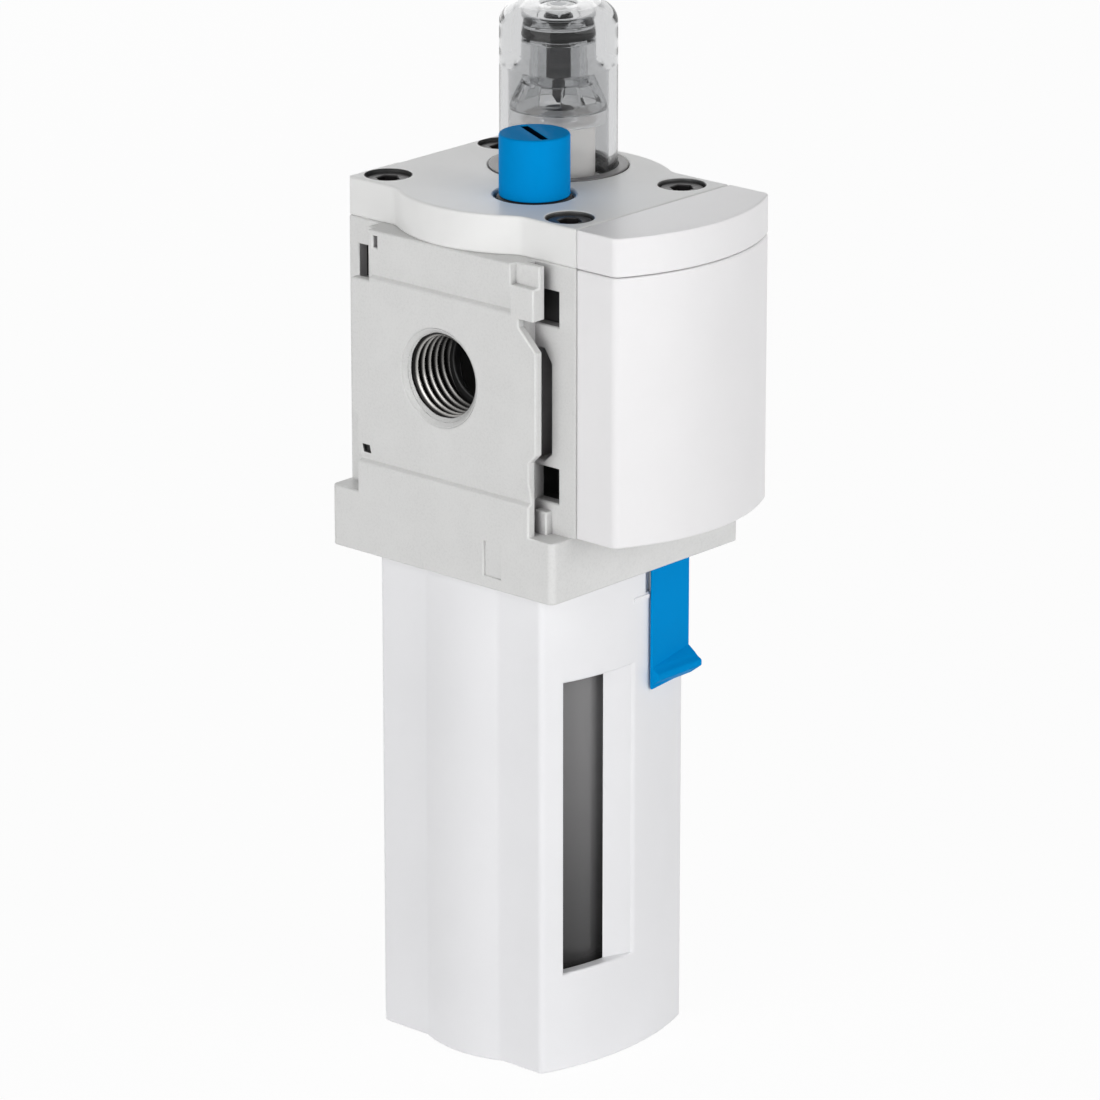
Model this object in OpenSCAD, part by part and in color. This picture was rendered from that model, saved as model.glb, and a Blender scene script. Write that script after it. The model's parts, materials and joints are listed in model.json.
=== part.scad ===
// Air line lubricator: metal housing with two threaded ports, capped oil sight dome and guarded bowl.
// Origin on the bowl axis at the guard's bottom face, air flows along +X, the front cover faces -Y.

/* [Housing] */
// Distance between the two port faces
module_w = 40; // [39.4:0.2:43]
// Reach of each coupling pad beyond the housing's side wall
pad_reach = 3.9; // [3.6:0.1:4.2]
// Depth of the housing in front of the port axis
body_front = 22.1; // [21.8:0.1:24]
// Depth of the housing behind the port axis
body_back = 20.7; // [20.4:0.1:22]
// Height of the housing above its skirt
body_h = 38.9; // [38.6:0.1:42]
// Height of the skirt that takes the bowl
skirt_h = 9; // [8.8:0.1:10]
// Depth of the skirt in front of the port axis
skirt_front = 21.2; // [20.8:0.1:22]
// Depth of the skirt behind the port axis
skirt_back = 21; // [20.6:0.1:22]
// Corner radius of the skirt
skirt_edge_r = 1; // [0.5:0.1:2]

/* [Ports] */
// Height of the port axis above the skirt
port_up = 19.8; // [19.2:0.1:20.4]
// Radius at the crests of the port thread
port_r = 5.72; // [5.4:0.02:6]
// Radius of the chamfer at the port's mouth
port_mouth_r = 7.1; // [6.4:0.1:7.4]
// Depth of the port thread from the port face
port_depth = 8.5; // [7.8:0.1:8.6]
// Radius of the air channel
channel_r = 5; // [4.4:0.1:5.1]

/* [Coupling pads] */
// Reach of each pad towards the front, from the port axis
pad_front = 18.1; // [17.8:0.1:18.6]
// Reach of each pad towards the back, from the port axis
pad_rear = 16.8; // [16.2:0.1:18.1]
// Reach of the pad's hook towards the front, from the port axis
hook_front = 17.7; // [17:0.1:18.1]
// Half length of the neck behind each pad
pad_neck_half = 14.6; // [14.4:0.1:15]
// Thickness of the pad's flange
pad_t = 1.4; // [1.2:0.1:1.8]
// Depth of the coupling groove behind the pad, into the housing
groove_depth = 5; // [4:0.1:5.4]
// Height of the coupling groove
groove_h = 16.2; // [14:0.2:16.8]
// Side of the square coupling pockets
pocket_h = 5; // [4:0.1:5.2]
// Depth of the upper coupling pockets, into the housing
pocket_depth = 1.8; // [1.2:0.1:1.9]
// Depth of the lower coupling pockets, into the housing
low_pocket_depth = 4.6; // [2:0.1:4.8]

/* [Cap] */
// Thickness of the cap
cap_h = 5.6; // [5.4:0.1:6.4]
// Distance from the cap's round sides back to the port faces
cap_inset = 0.1; // [0:0.05:0.4]
// Radius of the hollow blend between the cap's round and flat sides
cap_blend_r = 3; // [1:0.1:5]
// Spacing of the cap screws along the flow
screw_dx = 23.6; // [23.2:0.1:24]
// Spacing of the cap screws across the flow
screw_dy = 34.2; // [33.8:0.1:34.6]
// Radius of a cap screw's shank
screw_r = 1.95; // [1.7:0.05:2]
// Radius of a cap screw's head
screw_head_r = 3.1; // [2.8:0.05:3.2]
// Length of a cap screw under its head
screw_l = 10; // [8:0.5:12]
// Thickness of the gasket under the cap
gasket_t = 0.8; // [0.5:0.1:1.2]

/* [Front cover] */
// Depth of the front cover at its crest
cover_depth = 11.8; // [11:0.1:14]
// Radius of the cover's bowed front
cover_bow_r = 30.8; // [28:0.1:40]
// Rounding of the cover's upright edges
cover_edge_r = 1.4; // [0.8:0.1:2.4]
// Wall of the cover
cover_wall = 1.8; // [1.4:0.1:2.2]

/* [Filler plug] */
// Position of the filler plug along the flow
plug_x = -5.8; // [-6.2:0.1:-5.4]
// Position of the filler plug across the flow
plug_y = -5.2; // [-5.6:0.1:-4.8]
// Radius of the plug's head
plug_r = 5; // [4.8:0.1:5.3]
// Height of the plug above the cap
plug_up = 8.8; // [7:0.1:11]
// Radius over the plug's thread
plug_stem_r = 3.85; // [3.5:0.05:4]
// Direction of the screwdriver slot
plug_slot_turn = -27; // [-90:1:90]

/* [Sight dome] */
// Position of the dome along the flow
dome_x = 8.6; // [8.3:0.1:8.8]
// Position of the dome across the flow
dome_y = 3.2; // [2.9:0.1:3.5]
// Outer radius of the dome
dome_r = 8.4; // [8.2:0.05:8.6]
// Wall of the dome
dome_wall = 1.3; // [1.1:0.05:1.5]
// Height of the dome above the cap
dome_up = 23.5; // [23:0.1:26]
// Radius of the dome's rounded shoulder
dome_shoulder_r = 3; // [2.5:0.1:3.4]
// Radius of the ring that holds the dome's foot
dome_ring_r = 9.95; // [9.6:0.05:10]
// Radius of the adjuster's head
adjuster_r = 2.6; // [2:0.1:3]
// Radius of the adjuster's seal land
adjuster_land_r = 5.2; // [4.8:0.05:5.4]
// Pitch of the adjuster's thread
adjuster_lift = 0.75; // [0.3:0.05:0.8]
// Radius of the metering needle
needle_r = 1.7; // [1.2:0.05:2]

/* [Bowl] */
// Outer radius of the bowl
bowl_r = 14.6; // [14.4:0.05:14.9]
// Wall of the bowl
bowl_wall = 1.8; // [1.4:0.05:2]
// Outer radius of the bowl's neck
bowl_neck_r = 14; // [13.8:0.05:14.2]
// Height of the bowl's neck above its flange
bowl_neck_h = 7; // [6:0.1:7.6]
// Radius of the round section of the bowl's seal
seal_wire_r = 1; // [0.8:0.05:1.1]
// Outer radius of the siphon tube
siphon_r = 1.5; // [1.2:0.05:1.6]
// Radius of the strainer
filter_r = 2.6; // [2.2:0.1:3]

/* [Guard] */
// Height of the guard below the skirt
guard_h = 73.5; // [66:0.5:90]
// Width of the guard
guard_w = 30.6; // [30:0.1:31.6]
// Depth of the guard in front of the bowl axis
guard_front = 17.8; // [17.6:0.1:19]
// Depth of the guard behind the bowl axis
guard_back = 18.9; // [17.8:0.1:20]
// Radius of the guard's bowed front and back
guard_bow_r = 41; // [36:0.5:60]
// Radius of the guard's round sides
guard_bulge_r = 17; // [16.7:0.1:17.4]
// Rounding of the guard's upright edges
guard_edge_r = 1; // [0.6:0.1:1.6]
// Wall of the guard
guard_wall = 1.9; // [1.5:0.1:2.1]
// Left edge of the window
window_left = 11.7; // [10:0.1:12]
// Right edge of the window at the front
window_right = 1.4; // [0:0.1:1.6]
// Right edge of the window at the bowl
window_inner_right = -2; // [-4:0.1:0]
// Height of the window's sill
window_z0 = 14.8; // [10:0.1:20]
// Height of the window
window_h = 44; // [30:0.5:44]
// Radius of the guard's neck
neck_r = 16.9; // [16.7:0.05:17]
// Height of the guard's neck above its deck
neck_h = 6.5; // [6.3:0.1:7]
// Reach of the bayonet lugs beyond the neck
lug_reach = 1.3; // [1:0.05:1.4]
// Angle that each bayonet lug covers
lug_angle = 22; // [16:1:26]

/* [Release slide] */
// Left edge of the slide
slide_x0 = 4.6; // [4:0.1:5.2]
// Width of the slide
slide_w = 9.6; // [9:0.1:9.8]
// Height of the slide
slide_h = 19.1; // [18:0.1:21]
// Depth of the slide's face at its left edge, from the bowl axis
slide_left_y = 18.3; // [18.3:0.1:19]
// Depth of the slide's face at its right edge, from the bowl axis
slide_right_y = 17; // [17:0.1:18]
// Depth of the thumb ledge's tip, from the bowl axis
slide_tip_y = 19.5; // [19:0.1:21]
// Travel of the slide
slide_travel = 4; // [2:0.1:4]

/* [Flow insert] */
// Radius of the flow insert
insert_r = 11.2; // [11.1:0.05:11.4]
// Thickness of the bypass flap
flap_t = 0.8; // [0.5:0.05:1]
// Radius of the flap's hinge pin
pin_r = 0.6; // [0.4:0.05:0.7]

/* [Clearances] */
// Gap between pieces that move past each other
run_gap = 0.3; // [0.25:0.01:0.4]
// Radial gap of a pin, a thread or a seal in its bore
fit_gap = 0.05; // [0.03:0.01:0.08]
// Width of the seam round the front cover
seam_gap = 0.15; // [0.05:0.05:0.3]

/* [Hidden] */
$fn = 72;
// Overshoot of every cut past the face that it opens
eps = 0.1;
far = 60;

// Main levels, from the guard's bottom face up
skirt_z0 = guard_h;
body_z0 = skirt_z0 + skirt_h;
port_z = body_z0 + port_up;
cap_z0 = body_z0 + body_h;
cap_z1 = cap_z0 + cap_h;
dome_z1 = cap_z1 + dome_up;
plug_z1 = cap_z1 + plug_up;
pad_x = module_w / 2;
pad_back_x = pad_x - pad_t;
body_x = pad_x - pad_reach;
body_w = 2 * body_x;
cap_bulge_r = pad_x - cap_inset;

// Bayonet between the guard's neck and the skirt
skirt_bore_r = neck_r + run_gap;
lug_r = neck_r + lug_reach;
lug_groove_r = lug_r + run_gap;
lug_z0 = skirt_z0 + 3.5;
lug_h = 2.6;
lug_groove_z1 = lug_z0 + lug_h + run_gap;
lug_slack = 4;

// Bowl, hung by its flange from the guard's neck
flange_z0 = skirt_z0 + neck_h;
flange_h = 2;
flange_z1 = flange_z0 + flange_h;
flange_r = neck_r - run_gap;
bowl_z1 = flange_z1 + bowl_neck_h;
bowl_corner_r = 6;
bowl_inner_r = bowl_r - bowl_wall;
guard_floor = 2;
guard_bore_r = bowl_r + run_gap;
bowl_z0 = guard_floor + run_gap;
seal_bore_r = bowl_neck_r + run_gap;
seal_bore_z0 = flange_z1 + run_gap;
ceiling_z = bowl_z1 + 1.5;
seal_ring_r = seal_bore_r - fit_gap - seal_wire_r;
seal_z = flange_z1 + 3.7;
seal_groove_r = seal_ring_r - seal_wire_r;
bowl_throat_r = seal_groove_r - 1.05;

// Flow insert and the passages through it
insert_z0 = ceiling_z + 4;
insert_z1 = cap_z0 - gasket_t;
insert_bore_r = insert_r + fit_gap;
gasket_r = insert_r + 2.3;
riser_x = 4.2;
riser_y = 7.4;
riser_r = 1;
fill_x = -4;
fill_y = -8;
fill_r = 1.5;
chamber_x0 = -0.5;
chamber_half = 5.8;
chamber_z0 = port_z - 5.9;
chamber_z1 = port_z + 7.9;
flap_half = chamber_half - run_gap;
pin_x = 0.9;
pin_z = chamber_z1 - 1.6;
knuckle_r = 1.3;
pin_half = 7.4;
flap_spring_room = 2.6;

// Coupling groove and pockets
groove_z0 = port_z - 9.5;
upper_pocket_z0 = port_z + 10.2;
lower_pocket_z0 = port_z - 15.3;
pocket_half = 18.9;
plate_half = 13.4;
hook_half = 14.9;
pad_step = 1.3;
pad_slot_z = port_z + 16.6;
pad_mark_z = port_z - 13.8;
shoulder_z = port_z - 7.7;
chamfer_z = port_z + 7.05;
plate_z = port_z + 11.6;
hook_z = port_z + 16.1;

// Openings in the cap
counterbore_r = screw_head_r + 0.25;
head_h = 2.4;
seat_z = cap_z1 - head_h - 0.5;
plug_recess_r = plug_r + 0.75;
plug_recess_z = cap_z1 - 1.6;
plug_bore_r = plug_stem_r + fit_gap;
plug_seal_wire_r = 0.75;
plug_seal_r = plug_stem_r + 0.9;
plug_head_z = plug_recess_z + 2 * plug_seal_wire_r + fit_gap;
dome_recess_r = dome_ring_r + fit_gap;
dome_recess_z = cap_z1 - 2.4;

// Sight dome and what it holds
dome_bore_r = dome_r - dome_wall;
dome_spigot_r = dome_bore_r + 0.65;
dome_seal_wire_r = 0.5;
dome_flange_z0 = dome_recess_z + 2 * dome_seal_wire_r;
dome_flange_z1 = dome_flange_z0 + 0.9;
dome_flange_r = dome_ring_r - 0.35;
land_bore_r = adjuster_land_r + 0.1;
land_h = 2.4;
land_z0 = dome_z1 - 5.2;
land_z1 = land_z0 + land_h;
land_ceiling_z = land_z1 + adjuster_lift + run_gap;
adjuster_seal_wire_r = 0.75;
adjuster_seal_r = land_bore_r - fit_gap - adjuster_seal_wire_r;
adjuster_seal_z = land_z0 + land_h / 2;
adjuster_skirt_r = 4;
adjuster_z0 = dome_z1 - 11.5;
adjuster_z1 = dome_z1 - run_gap;
needle_z1 = land_z0 + 0.9;
seat_disc_z0 = cap_z1 + 6.6;
seat_disc_z1 = seat_disc_z0 + 1.9;
seat_disc_r = dome_bore_r - 0.2;
funnel_z1 = seat_disc_z1 + 5;
funnel_top_r = adjuster_skirt_r + run_gap;
stem_r = 5.2;
drip_r = 1.5;
drip_bore_r = 0.8;
drip_z0 = port_z + 3.7;

// Riser fitting, check ball, siphon tube and strainer
fitting_r = 2.2;
fitting_z0 = ceiling_z - 6.5;
fitting_stem_r = 1.7;
socket_h = 4;
socket_z = fitting_z0 + socket_h;
valve_r = 1.25;
ball_r = 1;
throat_r = 0.6;
valve_z0 = socket_z + 0.8;
ball_z = valve_z0 - throat_r + ball_r * sqrt(2);
siphon_z0 = bowl_z0 + bowl_wall + 4;
filter_h = 9;

// Release slide and its spring
slide_z1 = skirt_z0 - run_gap;
slide_z0 = slide_z1 - slide_h;
slide_x1 = slide_x0 + slide_w;
rib_x0 = 8.9;
rib_w = 3;
rib_z0 = slide_z0 + 6.1;
foot_x0 = 7.9;
foot_w = 5;
foot_y0 = -14.6;
foot_t = 1.4;
spring_h = 8;
spring_z0 = rib_z0 - spring_h;
spring_r = 0.9;
spring_wire_r = 0.2;
spring_x = foot_x0 + foot_w / 2;
spring_y = foot_y0 + foot_t / 2;
boss_z0 = spring_z0 - 2;

// Notch and short bead in the guard's front, beside the slide's upper end
notch_h = 4.8;
notch_depth = 0.9;
bead_l = 3.1;

// Shallow mark in the skirt's inlet side
mark_y0 = -11.4;
mark_z0 = skirt_z0 + 1.7;
mark_w = 3.1;
mark_h = 5.1;
mark_depth = 0.4;

// Clips that hold the front cover in the housing's front wall
clip_w = 2;
clip_h = 4;
clip_reach = 2.6;
clip_x = body_x - clip_w / 2 - 1.1;
clip_low_z = body_z0 + 4;
clip_high_z = cap_z0 - 9;

// Outline with a flat side at flat_y and a bowed side whose crest is at crest_y, further along -Y
module bowed_outline(w, flat_y, crest_y, bow_r, edge_r) {
    bow_y = crest_y + bow_r;
    reach = bow_r - edge_r;
    turn = asin((w / 2 - edge_r) / reach);
    edge_y = bow_y - reach * cos(turn);
    intersection() {
        translate([0, bow_y]) circle(r = bow_r);
        polygon([
            [0, bow_y],
            [-2 * bow_r * sin(turn), bow_y - 2 * bow_r * cos(turn)],
            [2 * bow_r * sin(turn), bow_y - 2 * bow_r * cos(turn)]
        ]);
        translate([-w / 2, crest_y - eps]) square([w, flat_y - crest_y + eps]);
    }
    translate([-w / 2, edge_y]) square([w, flat_y - edge_y]);
    for (side = [-1, 1]) translate([side * (w / 2 - edge_r), edge_y]) circle(r = edge_r);
}

// Rectangle with rounded corners
module rounded_outline(x0, y0, w, d, r) {
    translate([x0 + r, y0]) square([w - 2 * r, d]);
    translate([x0, y0 + r]) square([w, d - 2 * r]);
    for (x = [x0 + r, x0 + w - r], y = [y0 + r, y0 + d - r]) translate([x, y]) circle(r = r);
}

// Half section of a round-bottomed cup, for a revolve
module cup_half(r, z0, z1, corner_r) {
    translate([0, z0]) square([r - corner_r, z1 - z0]);
    translate([0, z0 + corner_r]) square([r, z1 - z0 - corner_r]);
    translate([r - corner_r, z0 + corner_r]) circle(r = corner_r);
}

// Ring of round section
module seal_ring(x, y, z, ring_r, wire_r) {
    translate([x, y, z]) rotate_extrude() translate([ring_r, 0]) circle(r = wire_r, $fn = 32);
}

// Part of a ring that covers an angle, centred on a direction
module ring_sector(direction, angle, r0, r1, z0, h) {
    rotate([0, 0, direction - angle / 2]) rotate_extrude(angle = angle)
        translate([r0, z0]) square([r1 - r0, h]);
}

function unit(v) = v / norm(v);
function heading(path, i) = unit(path[min(i + 1, len(path) - 1)] - path[max(i - 1, 0)]);

// Points of one ring of a wire, square to its path and turned from the coil's axis
function wire_ring(path, i, axis, r, sides) =
    let (t = heading(path, i), n = unit(cross(t, axis)), b = cross(t, n))
    [for (k = [0 : sides - 1]) path[i] + r * (cos(360 * k / sides) * n + sin(360 * k / sides) * b)];

// Round wire swept along a path
module wire(path, axis, r, sides = 6) {
    last = len(path) - 1;
    points = [for (i = [0 : last]) each wire_ring(path, i, axis, r, sides)];
    walls = [
        for (i = [0 : last - 1], k = [0 : sides - 1])
            let (a = i * sides + k, b = i * sides + (k + 1) % sides)
            each [[a, a + sides, b + sides], [a, b + sides, b]]
    ];
    polyhedron(
        points = points,
        faces = concat(
            [[for (k = [0 : sides - 1]) k]],
            walls,
            [[for (k = [sides - 1 : -1 : 0]) last * sides + k]]
        )
    );
}

// Copies of a child at the four cap screws
module at_screws() {
    for (x = [-1, 1], y = [-1, 1]) translate([x * screw_dx / 2, y * screw_dy / 2, 0]) children();
}

// Outline of one coupling pad seen along the flow, with its front end at the left
module pad_outline() {
    polygon([
        [-pad_front + pad_step, body_z0 - eps],
        [-pad_front + pad_step, shoulder_z - pad_step],
        [-pad_front, shoulder_z],
        [-pad_front, chamfer_z],
        [-hook_half, chamfer_z + pad_front - hook_half],
        [-hook_half, plate_z],
        [-plate_half, plate_z],
        [-plate_half, cap_z0],
        [plate_half, cap_z0],
        [plate_half, plate_z],
        [pad_rear, plate_z],
        [pad_rear, shoulder_z],
        [pad_rear - 1, shoulder_z - 1],
        [pad_rear - 1, body_z0 - eps]
    ]);
}

// Hook in front of the pad's upper plate, low half flush with the pad and upper half set back
module pad_hook() {
    translate([pad_x - pad_t, -hook_front, plate_z - 0.2])
        cube([pad_t, hook_front - plate_half + 0.1, hook_z - plate_z + 0.2]);
    translate([pad_back_x - 1, -hook_front, plate_z - 0.2])
        cube([1 + eps, hook_front - pad_neck_half + eps, cap_z0 - plate_z + 0.2]);
}

// Coupling pad on the outlet side
module coupling_pad() {
    difference() {
        union() {
            translate([body_x - eps, -pad_neck_half, body_z0 - eps])
                cube([pad_back_x - body_x + 2 * eps, 2 * pad_neck_half, cap_z0 - body_z0 + eps]);
            translate([pad_back_x, 0, 0]) rotate([90, 0, 90]) linear_extrude(pad_t) pad_outline();
            pad_hook();
        }
        translate([pad_x - 1, plate_half - 1.7, pad_slot_z]) cube([1 + eps, 0.8, 1.7]);
        translate([pad_x - 0.9, plate_half + 0.3, pad_mark_z]) cube([0.9 + eps, 1.2, 1.1]);
    }
    for (side = [0, 1]) mirror([0, side, 0])
        translate([body_x - eps, pad_neck_half + 0.8, body_z0 - eps]) cube([1.2 + eps, 2.3, 3.3 + eps]);
}

// Shallow slanted groove along the face of a pad, from its front end to its back end
module pad_band(z, front, rear) {
    translate([0, rear, 0]) rotate([90, 0, 0]) linear_extrude(front + rear) polygon([
        [pad_x + eps, z + 3.4],
        [pad_x - 0.7, z],
        [pad_x + eps, z - 0.5]
    ]);
}

// Coupling groove with slanted ends and a pocket above and below it, behind one end of a pad
module coupling_groove() {
    depth = pad_neck_half + 2.95;
    translate([body_x - groove_depth, 0, 0]) rotate([90, 0, 90]) linear_extrude(groove_depth + eps) polygon([
        [pad_neck_half, groove_z0],
        [depth - 1.35, groove_z0],
        [depth, groove_z0 + 1.2],
        [depth, groove_z0 + groove_h - 2],
        [depth - 1.35, groove_z0 + groove_h],
        [pad_neck_half, groove_z0 + groove_h]
    ]);
    for (pocket = [[upper_pocket_z0, pocket_depth], [lower_pocket_z0, low_pocket_depth]])
        translate([body_x - pocket[1], pad_neck_half, pocket[0]])
            cube([pocket[1] + eps, pocket_half - pad_neck_half, pocket_h]);
}

module port_bore() {
    rotate([0, 90, 0]) translate([0, 0, pad_x - port_depth]) cylinder(h = port_depth + eps, r = port_r);
    rotate([0, 90, 0]) cylinder(h = pad_x - port_depth + eps, r = channel_r);
    mouth_h = port_mouth_r - port_r;
    rotate([0, 90, 0]) translate([0, 0, pad_x - mouth_h])
        cylinder(h = mouth_h, r1 = port_r, r2 = port_mouth_r);
    rotate([0, 90, 0]) translate([0, 0, pad_x - eps]) cylinder(h = 2 * eps, r = port_mouth_r);
}

// Space in the skirt for the guard's neck and lugs, and the bowl's seal bore above it
module bayonet_space() {
    translate([0, 0, skirt_z0 - eps]) cylinder(h = lug_groove_z1 - skirt_z0 + eps, r = lug_groove_r);
    translate([0, 0, skirt_z0 - eps]) cylinder(h = seal_bore_z0 - skirt_z0 + eps, r = skirt_bore_r);
    translate([0, 0, seal_bore_z0 - eps]) cylinder(h = ceiling_z - seal_bore_z0 + eps, r = seal_bore_r);
}

// Ledges under the bayonet lugs, with an entry slot between each two
module bayonet_ledges() {
    ledge_angle = 90 - lug_angle - lug_slack;
    for (k = [0 : 3])
        ring_sector(90 * k, ledge_angle, skirt_bore_r, lug_groove_r + 0.6, skirt_z0, lug_z0 - skirt_z0);
}

// Slots in the front wall for the cover's clips
module clip_slots() {
    for (side = [-1, 1], z = [clip_low_z, clip_high_z])
        translate([side * clip_x - clip_w / 2 - 0.1, -body_front - eps, z - 0.1])
            cube([clip_w + 0.2, clip_reach + 0.2 + eps, clip_h + 0.2]);
}

module housing() {
    color([0.82, 0.82, 0.82]) {
        difference() {
            union() {
                translate([-body_x, -body_front, body_z0]) cube([body_w, body_front + body_back, body_h]);
                translate([0, 0, skirt_z0]) linear_extrude(skirt_h)
                    rounded_outline(-pad_x, -skirt_front, module_w, skirt_front + skirt_back, skirt_edge_r);
                for (side = [0, 1]) mirror([side, 0, 0]) coupling_pad();
            }
            for (side = [0, 1]) mirror([side, 0, 0]) {
                pad_band(port_z + 12.4, plate_half, plate_half);
                pad_band(port_z - 14.9, pad_front - pad_step, pad_rear - 1);
                for (end = [0, 1]) mirror([0, end, 0]) coupling_groove();
                translate([0, 0, port_z]) port_bore();
            }
            bayonet_space();
            translate([0, 0, insert_z0]) cylinder(h = cap_z0 - insert_z0 + eps, r = insert_bore_r);
            translate([0, 0, insert_z1]) cylinder(h = gasket_t + eps, r = gasket_r + fit_gap);
            translate([riser_x, riser_y, ceiling_z - eps])
                cylinder(h = insert_z0 - ceiling_z + 2 * eps, r = fitting_stem_r + fit_gap);
            translate([fill_x, fill_y, ceiling_z - eps])
                cylinder(h = insert_z0 - ceiling_z + 2 * eps, r = fill_r);
            at_screws() translate([0, 0, seat_z - screw_l - 0.5])
                cylinder(h = screw_l + 0.5, r = screw_r + fit_gap);
            clip_slots();
            translate([-pad_x - eps, mark_y0, mark_z0]) cube([mark_depth + eps, mark_w, mark_h]);
        }
        bayonet_ledges();
    }
}

// Hollow blend between the cap's round side and its flat side, cut a hair past both so that it crosses them
module cap_blend() {
    past = 0.005;
    centre_x = body_x + cap_blend_r;
    centre_y = sqrt(pow(cap_bulge_r + cap_blend_r, 2) - pow(centre_x, 2));
    inside = [centre_x, centre_y] * (cap_bulge_r - 0.3) / (cap_bulge_r + cap_blend_r);
    difference() {
        polygon([
            [body_x - 1, inside[1] - 1],
            inside,
            [centre_x, centre_y],
            [body_x, centre_y],
            [body_x - 1, centre_y]
        ]);
        translate([centre_x, centre_y]) circle(r = cap_blend_r + past);
    }
}

module cap_outline() {
    translate([-body_x, -body_front]) square([body_w, body_front + body_back]);
    circle(r = cap_bulge_r);
    for (side = [0, 1], end = [0, 1]) mirror([side, 0]) mirror([0, end]) cap_blend();
}

module top_cap() {
    color([0.86, 0.86, 0.86]) difference() {
        translate([0, 0, cap_z0]) linear_extrude(cap_h) cap_outline();
        at_screws() {
            translate([0, 0, seat_z]) cylinder(h = cap_z1 - seat_z + eps, r = counterbore_r);
            translate([0, 0, cap_z0 - eps]) cylinder(h = cap_h, r = screw_r + 0.2);
        }
        translate([plug_x, plug_y, 0]) {
            translate([0, 0, plug_recess_z]) cylinder(h = cap_z1 - plug_recess_z + eps, r = plug_recess_r);
            translate([0, 0, cap_z0 - eps]) cylinder(h = cap_h, r = plug_bore_r);
        }
        translate([dome_x, dome_y, 0]) {
            translate([0, 0, dome_recess_z]) cylinder(h = cap_z1 - dome_recess_z + eps, r = dome_recess_r);
            translate([0, 0, cap_z0 - eps]) cylinder(h = cap_h, r = drip_r + fit_gap);
        }
        translate([riser_x, riser_y, cap_z0 - eps]) cylinder(h = cap_h, r = riser_r - 0.1);
    }
}

module cap_gasket() {
    color([0.12, 0.12, 0.12]) difference() {
        translate([0, 0, insert_z1]) cylinder(h = gasket_t, r = gasket_r);
        translate([plug_x, plug_y, insert_z1 - eps]) cylinder(h = gasket_t + 2 * eps, r = plug_bore_r + 0.4);
        translate([dome_x, dome_y, insert_z1 - eps]) cylinder(h = gasket_t + 2 * eps, r = drip_r + fit_gap);
        translate([riser_x, riser_y, insert_z1 - eps]) cylinder(h = gasket_t + 2 * eps, r = riser_r);
    }
}

module cap_screws() {
    color([0.2, 0.2, 0.21]) at_screws() difference() {
        union() {
            translate([0, 0, seat_z - screw_l]) cylinder(h = screw_l + eps, r = screw_r);
            translate([0, 0, seat_z]) cylinder(h = head_h, r = screw_head_r);
        }
        translate([0, 0, seat_z + head_h - 1.6]) cylinder(h = 1.6 + eps, r = screw_head_r * 0.56, $fn = 6);
    }
}

// Outline of the cover, drawn in by inset on every side but the flat one
module cover_outline(inset) {
    flat_y = -body_front - seam_gap;
    bowed_outline(body_w + 0.2 - 2 * inset, flat_y, -body_front - cover_depth + inset,
        cover_bow_r - inset, max(cover_edge_r - inset, 0.3));
}

// Space inside the cover, open at the flat side
module cover_space(inset) {
    cover_outline(inset);
    translate([-body_w / 2 + inset - 0.1, -body_front - seam_gap - eps])
        square([body_w + 0.2 - 2 * inset, 2 * eps]);
}

module front_cover() {
    z0 = body_z0 + seam_gap;
    z1 = cap_z0 - seam_gap / 2;
    color([0.9, 0.9, 0.9]) {
        difference() {
            translate([0, 0, z0]) linear_extrude(z1 - z0) cover_outline(0);
            translate([0, 0, z0 + cover_wall]) linear_extrude(z1 - z0) cover_space(cover_wall);
        }
        for (side = [-1, 1], z = [clip_low_z, clip_high_z])
            translate([side * clip_x - clip_w / 2, -body_front - 4, z])
                cube([clip_w, 4 + clip_reach, clip_h]);
    }
}

module cover_trim() {
    z0 = cap_z0 + seam_gap / 2;
    lip_gap = 0.1;
    color([0.88, 0.88, 0.88]) {
        difference() {
            translate([0, 0, z0]) linear_extrude(cap_z1 - z0) cover_outline(0);
            translate([0, 0, z0 - eps]) linear_extrude(cap_z1 - z0 - cover_wall + eps)
                cover_space(cover_wall + lip_gap);
        }
        difference() {
            translate([0, 0, z0 - 2]) linear_extrude(cap_z1 - z0 + 1) cover_outline(cover_wall + lip_gap);
            translate([0, 0, z0 - 2 - eps]) linear_extrude(cap_z1 - z0 + 1) cover_space(cover_wall + 1.1);
        }
    }
}

// Outline of the guard, drawn in by inset all round
module guard_outline(inset) {
    edge_r = max(guard_edge_r - inset, 0.3);
    circle(r = guard_bulge_r - inset);
    bowed_outline(guard_w - 2 * inset, 0, -guard_front + inset, guard_bow_r - inset, edge_r);
    mirror([0, 1]) bowed_outline(guard_w - 2 * inset, 0, -guard_back + inset, guard_bow_r - inset, edge_r);
}

// Window in the guard's front, with a slanted right wall
module window_cut() {
    bore_y = -guard_bore_r;
    slope = (window_right - window_inner_right) / (guard_front + bore_y);
    translate([0, 0, window_z0]) linear_extrude(window_h) polygon([
        [-window_left, -guard_front - 2],
        [window_right + 2 * slope, -guard_front - 2],
        [window_inner_right, bore_y],
        [window_inner_right - slope, bore_y + 1],
        [-window_left, bore_y + 6]
    ]);
}

// Room in the guard for the slide's rib, foot and spring
module latch_room() {
    room_x0 = foot_x0 - run_gap;
    room_w = foot_w + 2 * run_gap;
    translate([rib_x0 - run_gap, -guard_front - 1, rib_z0 - slide_travel - run_gap])
        cube([rib_w + 2 * run_gap, guard_front + 1 + foot_y0 + eps, skirt_z0]);
    translate([room_x0, foot_y0 - run_gap, spring_z0])
        cube([room_w, foot_t + 2 * run_gap, skirt_z0 - spring_z0 + eps]);
}

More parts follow.
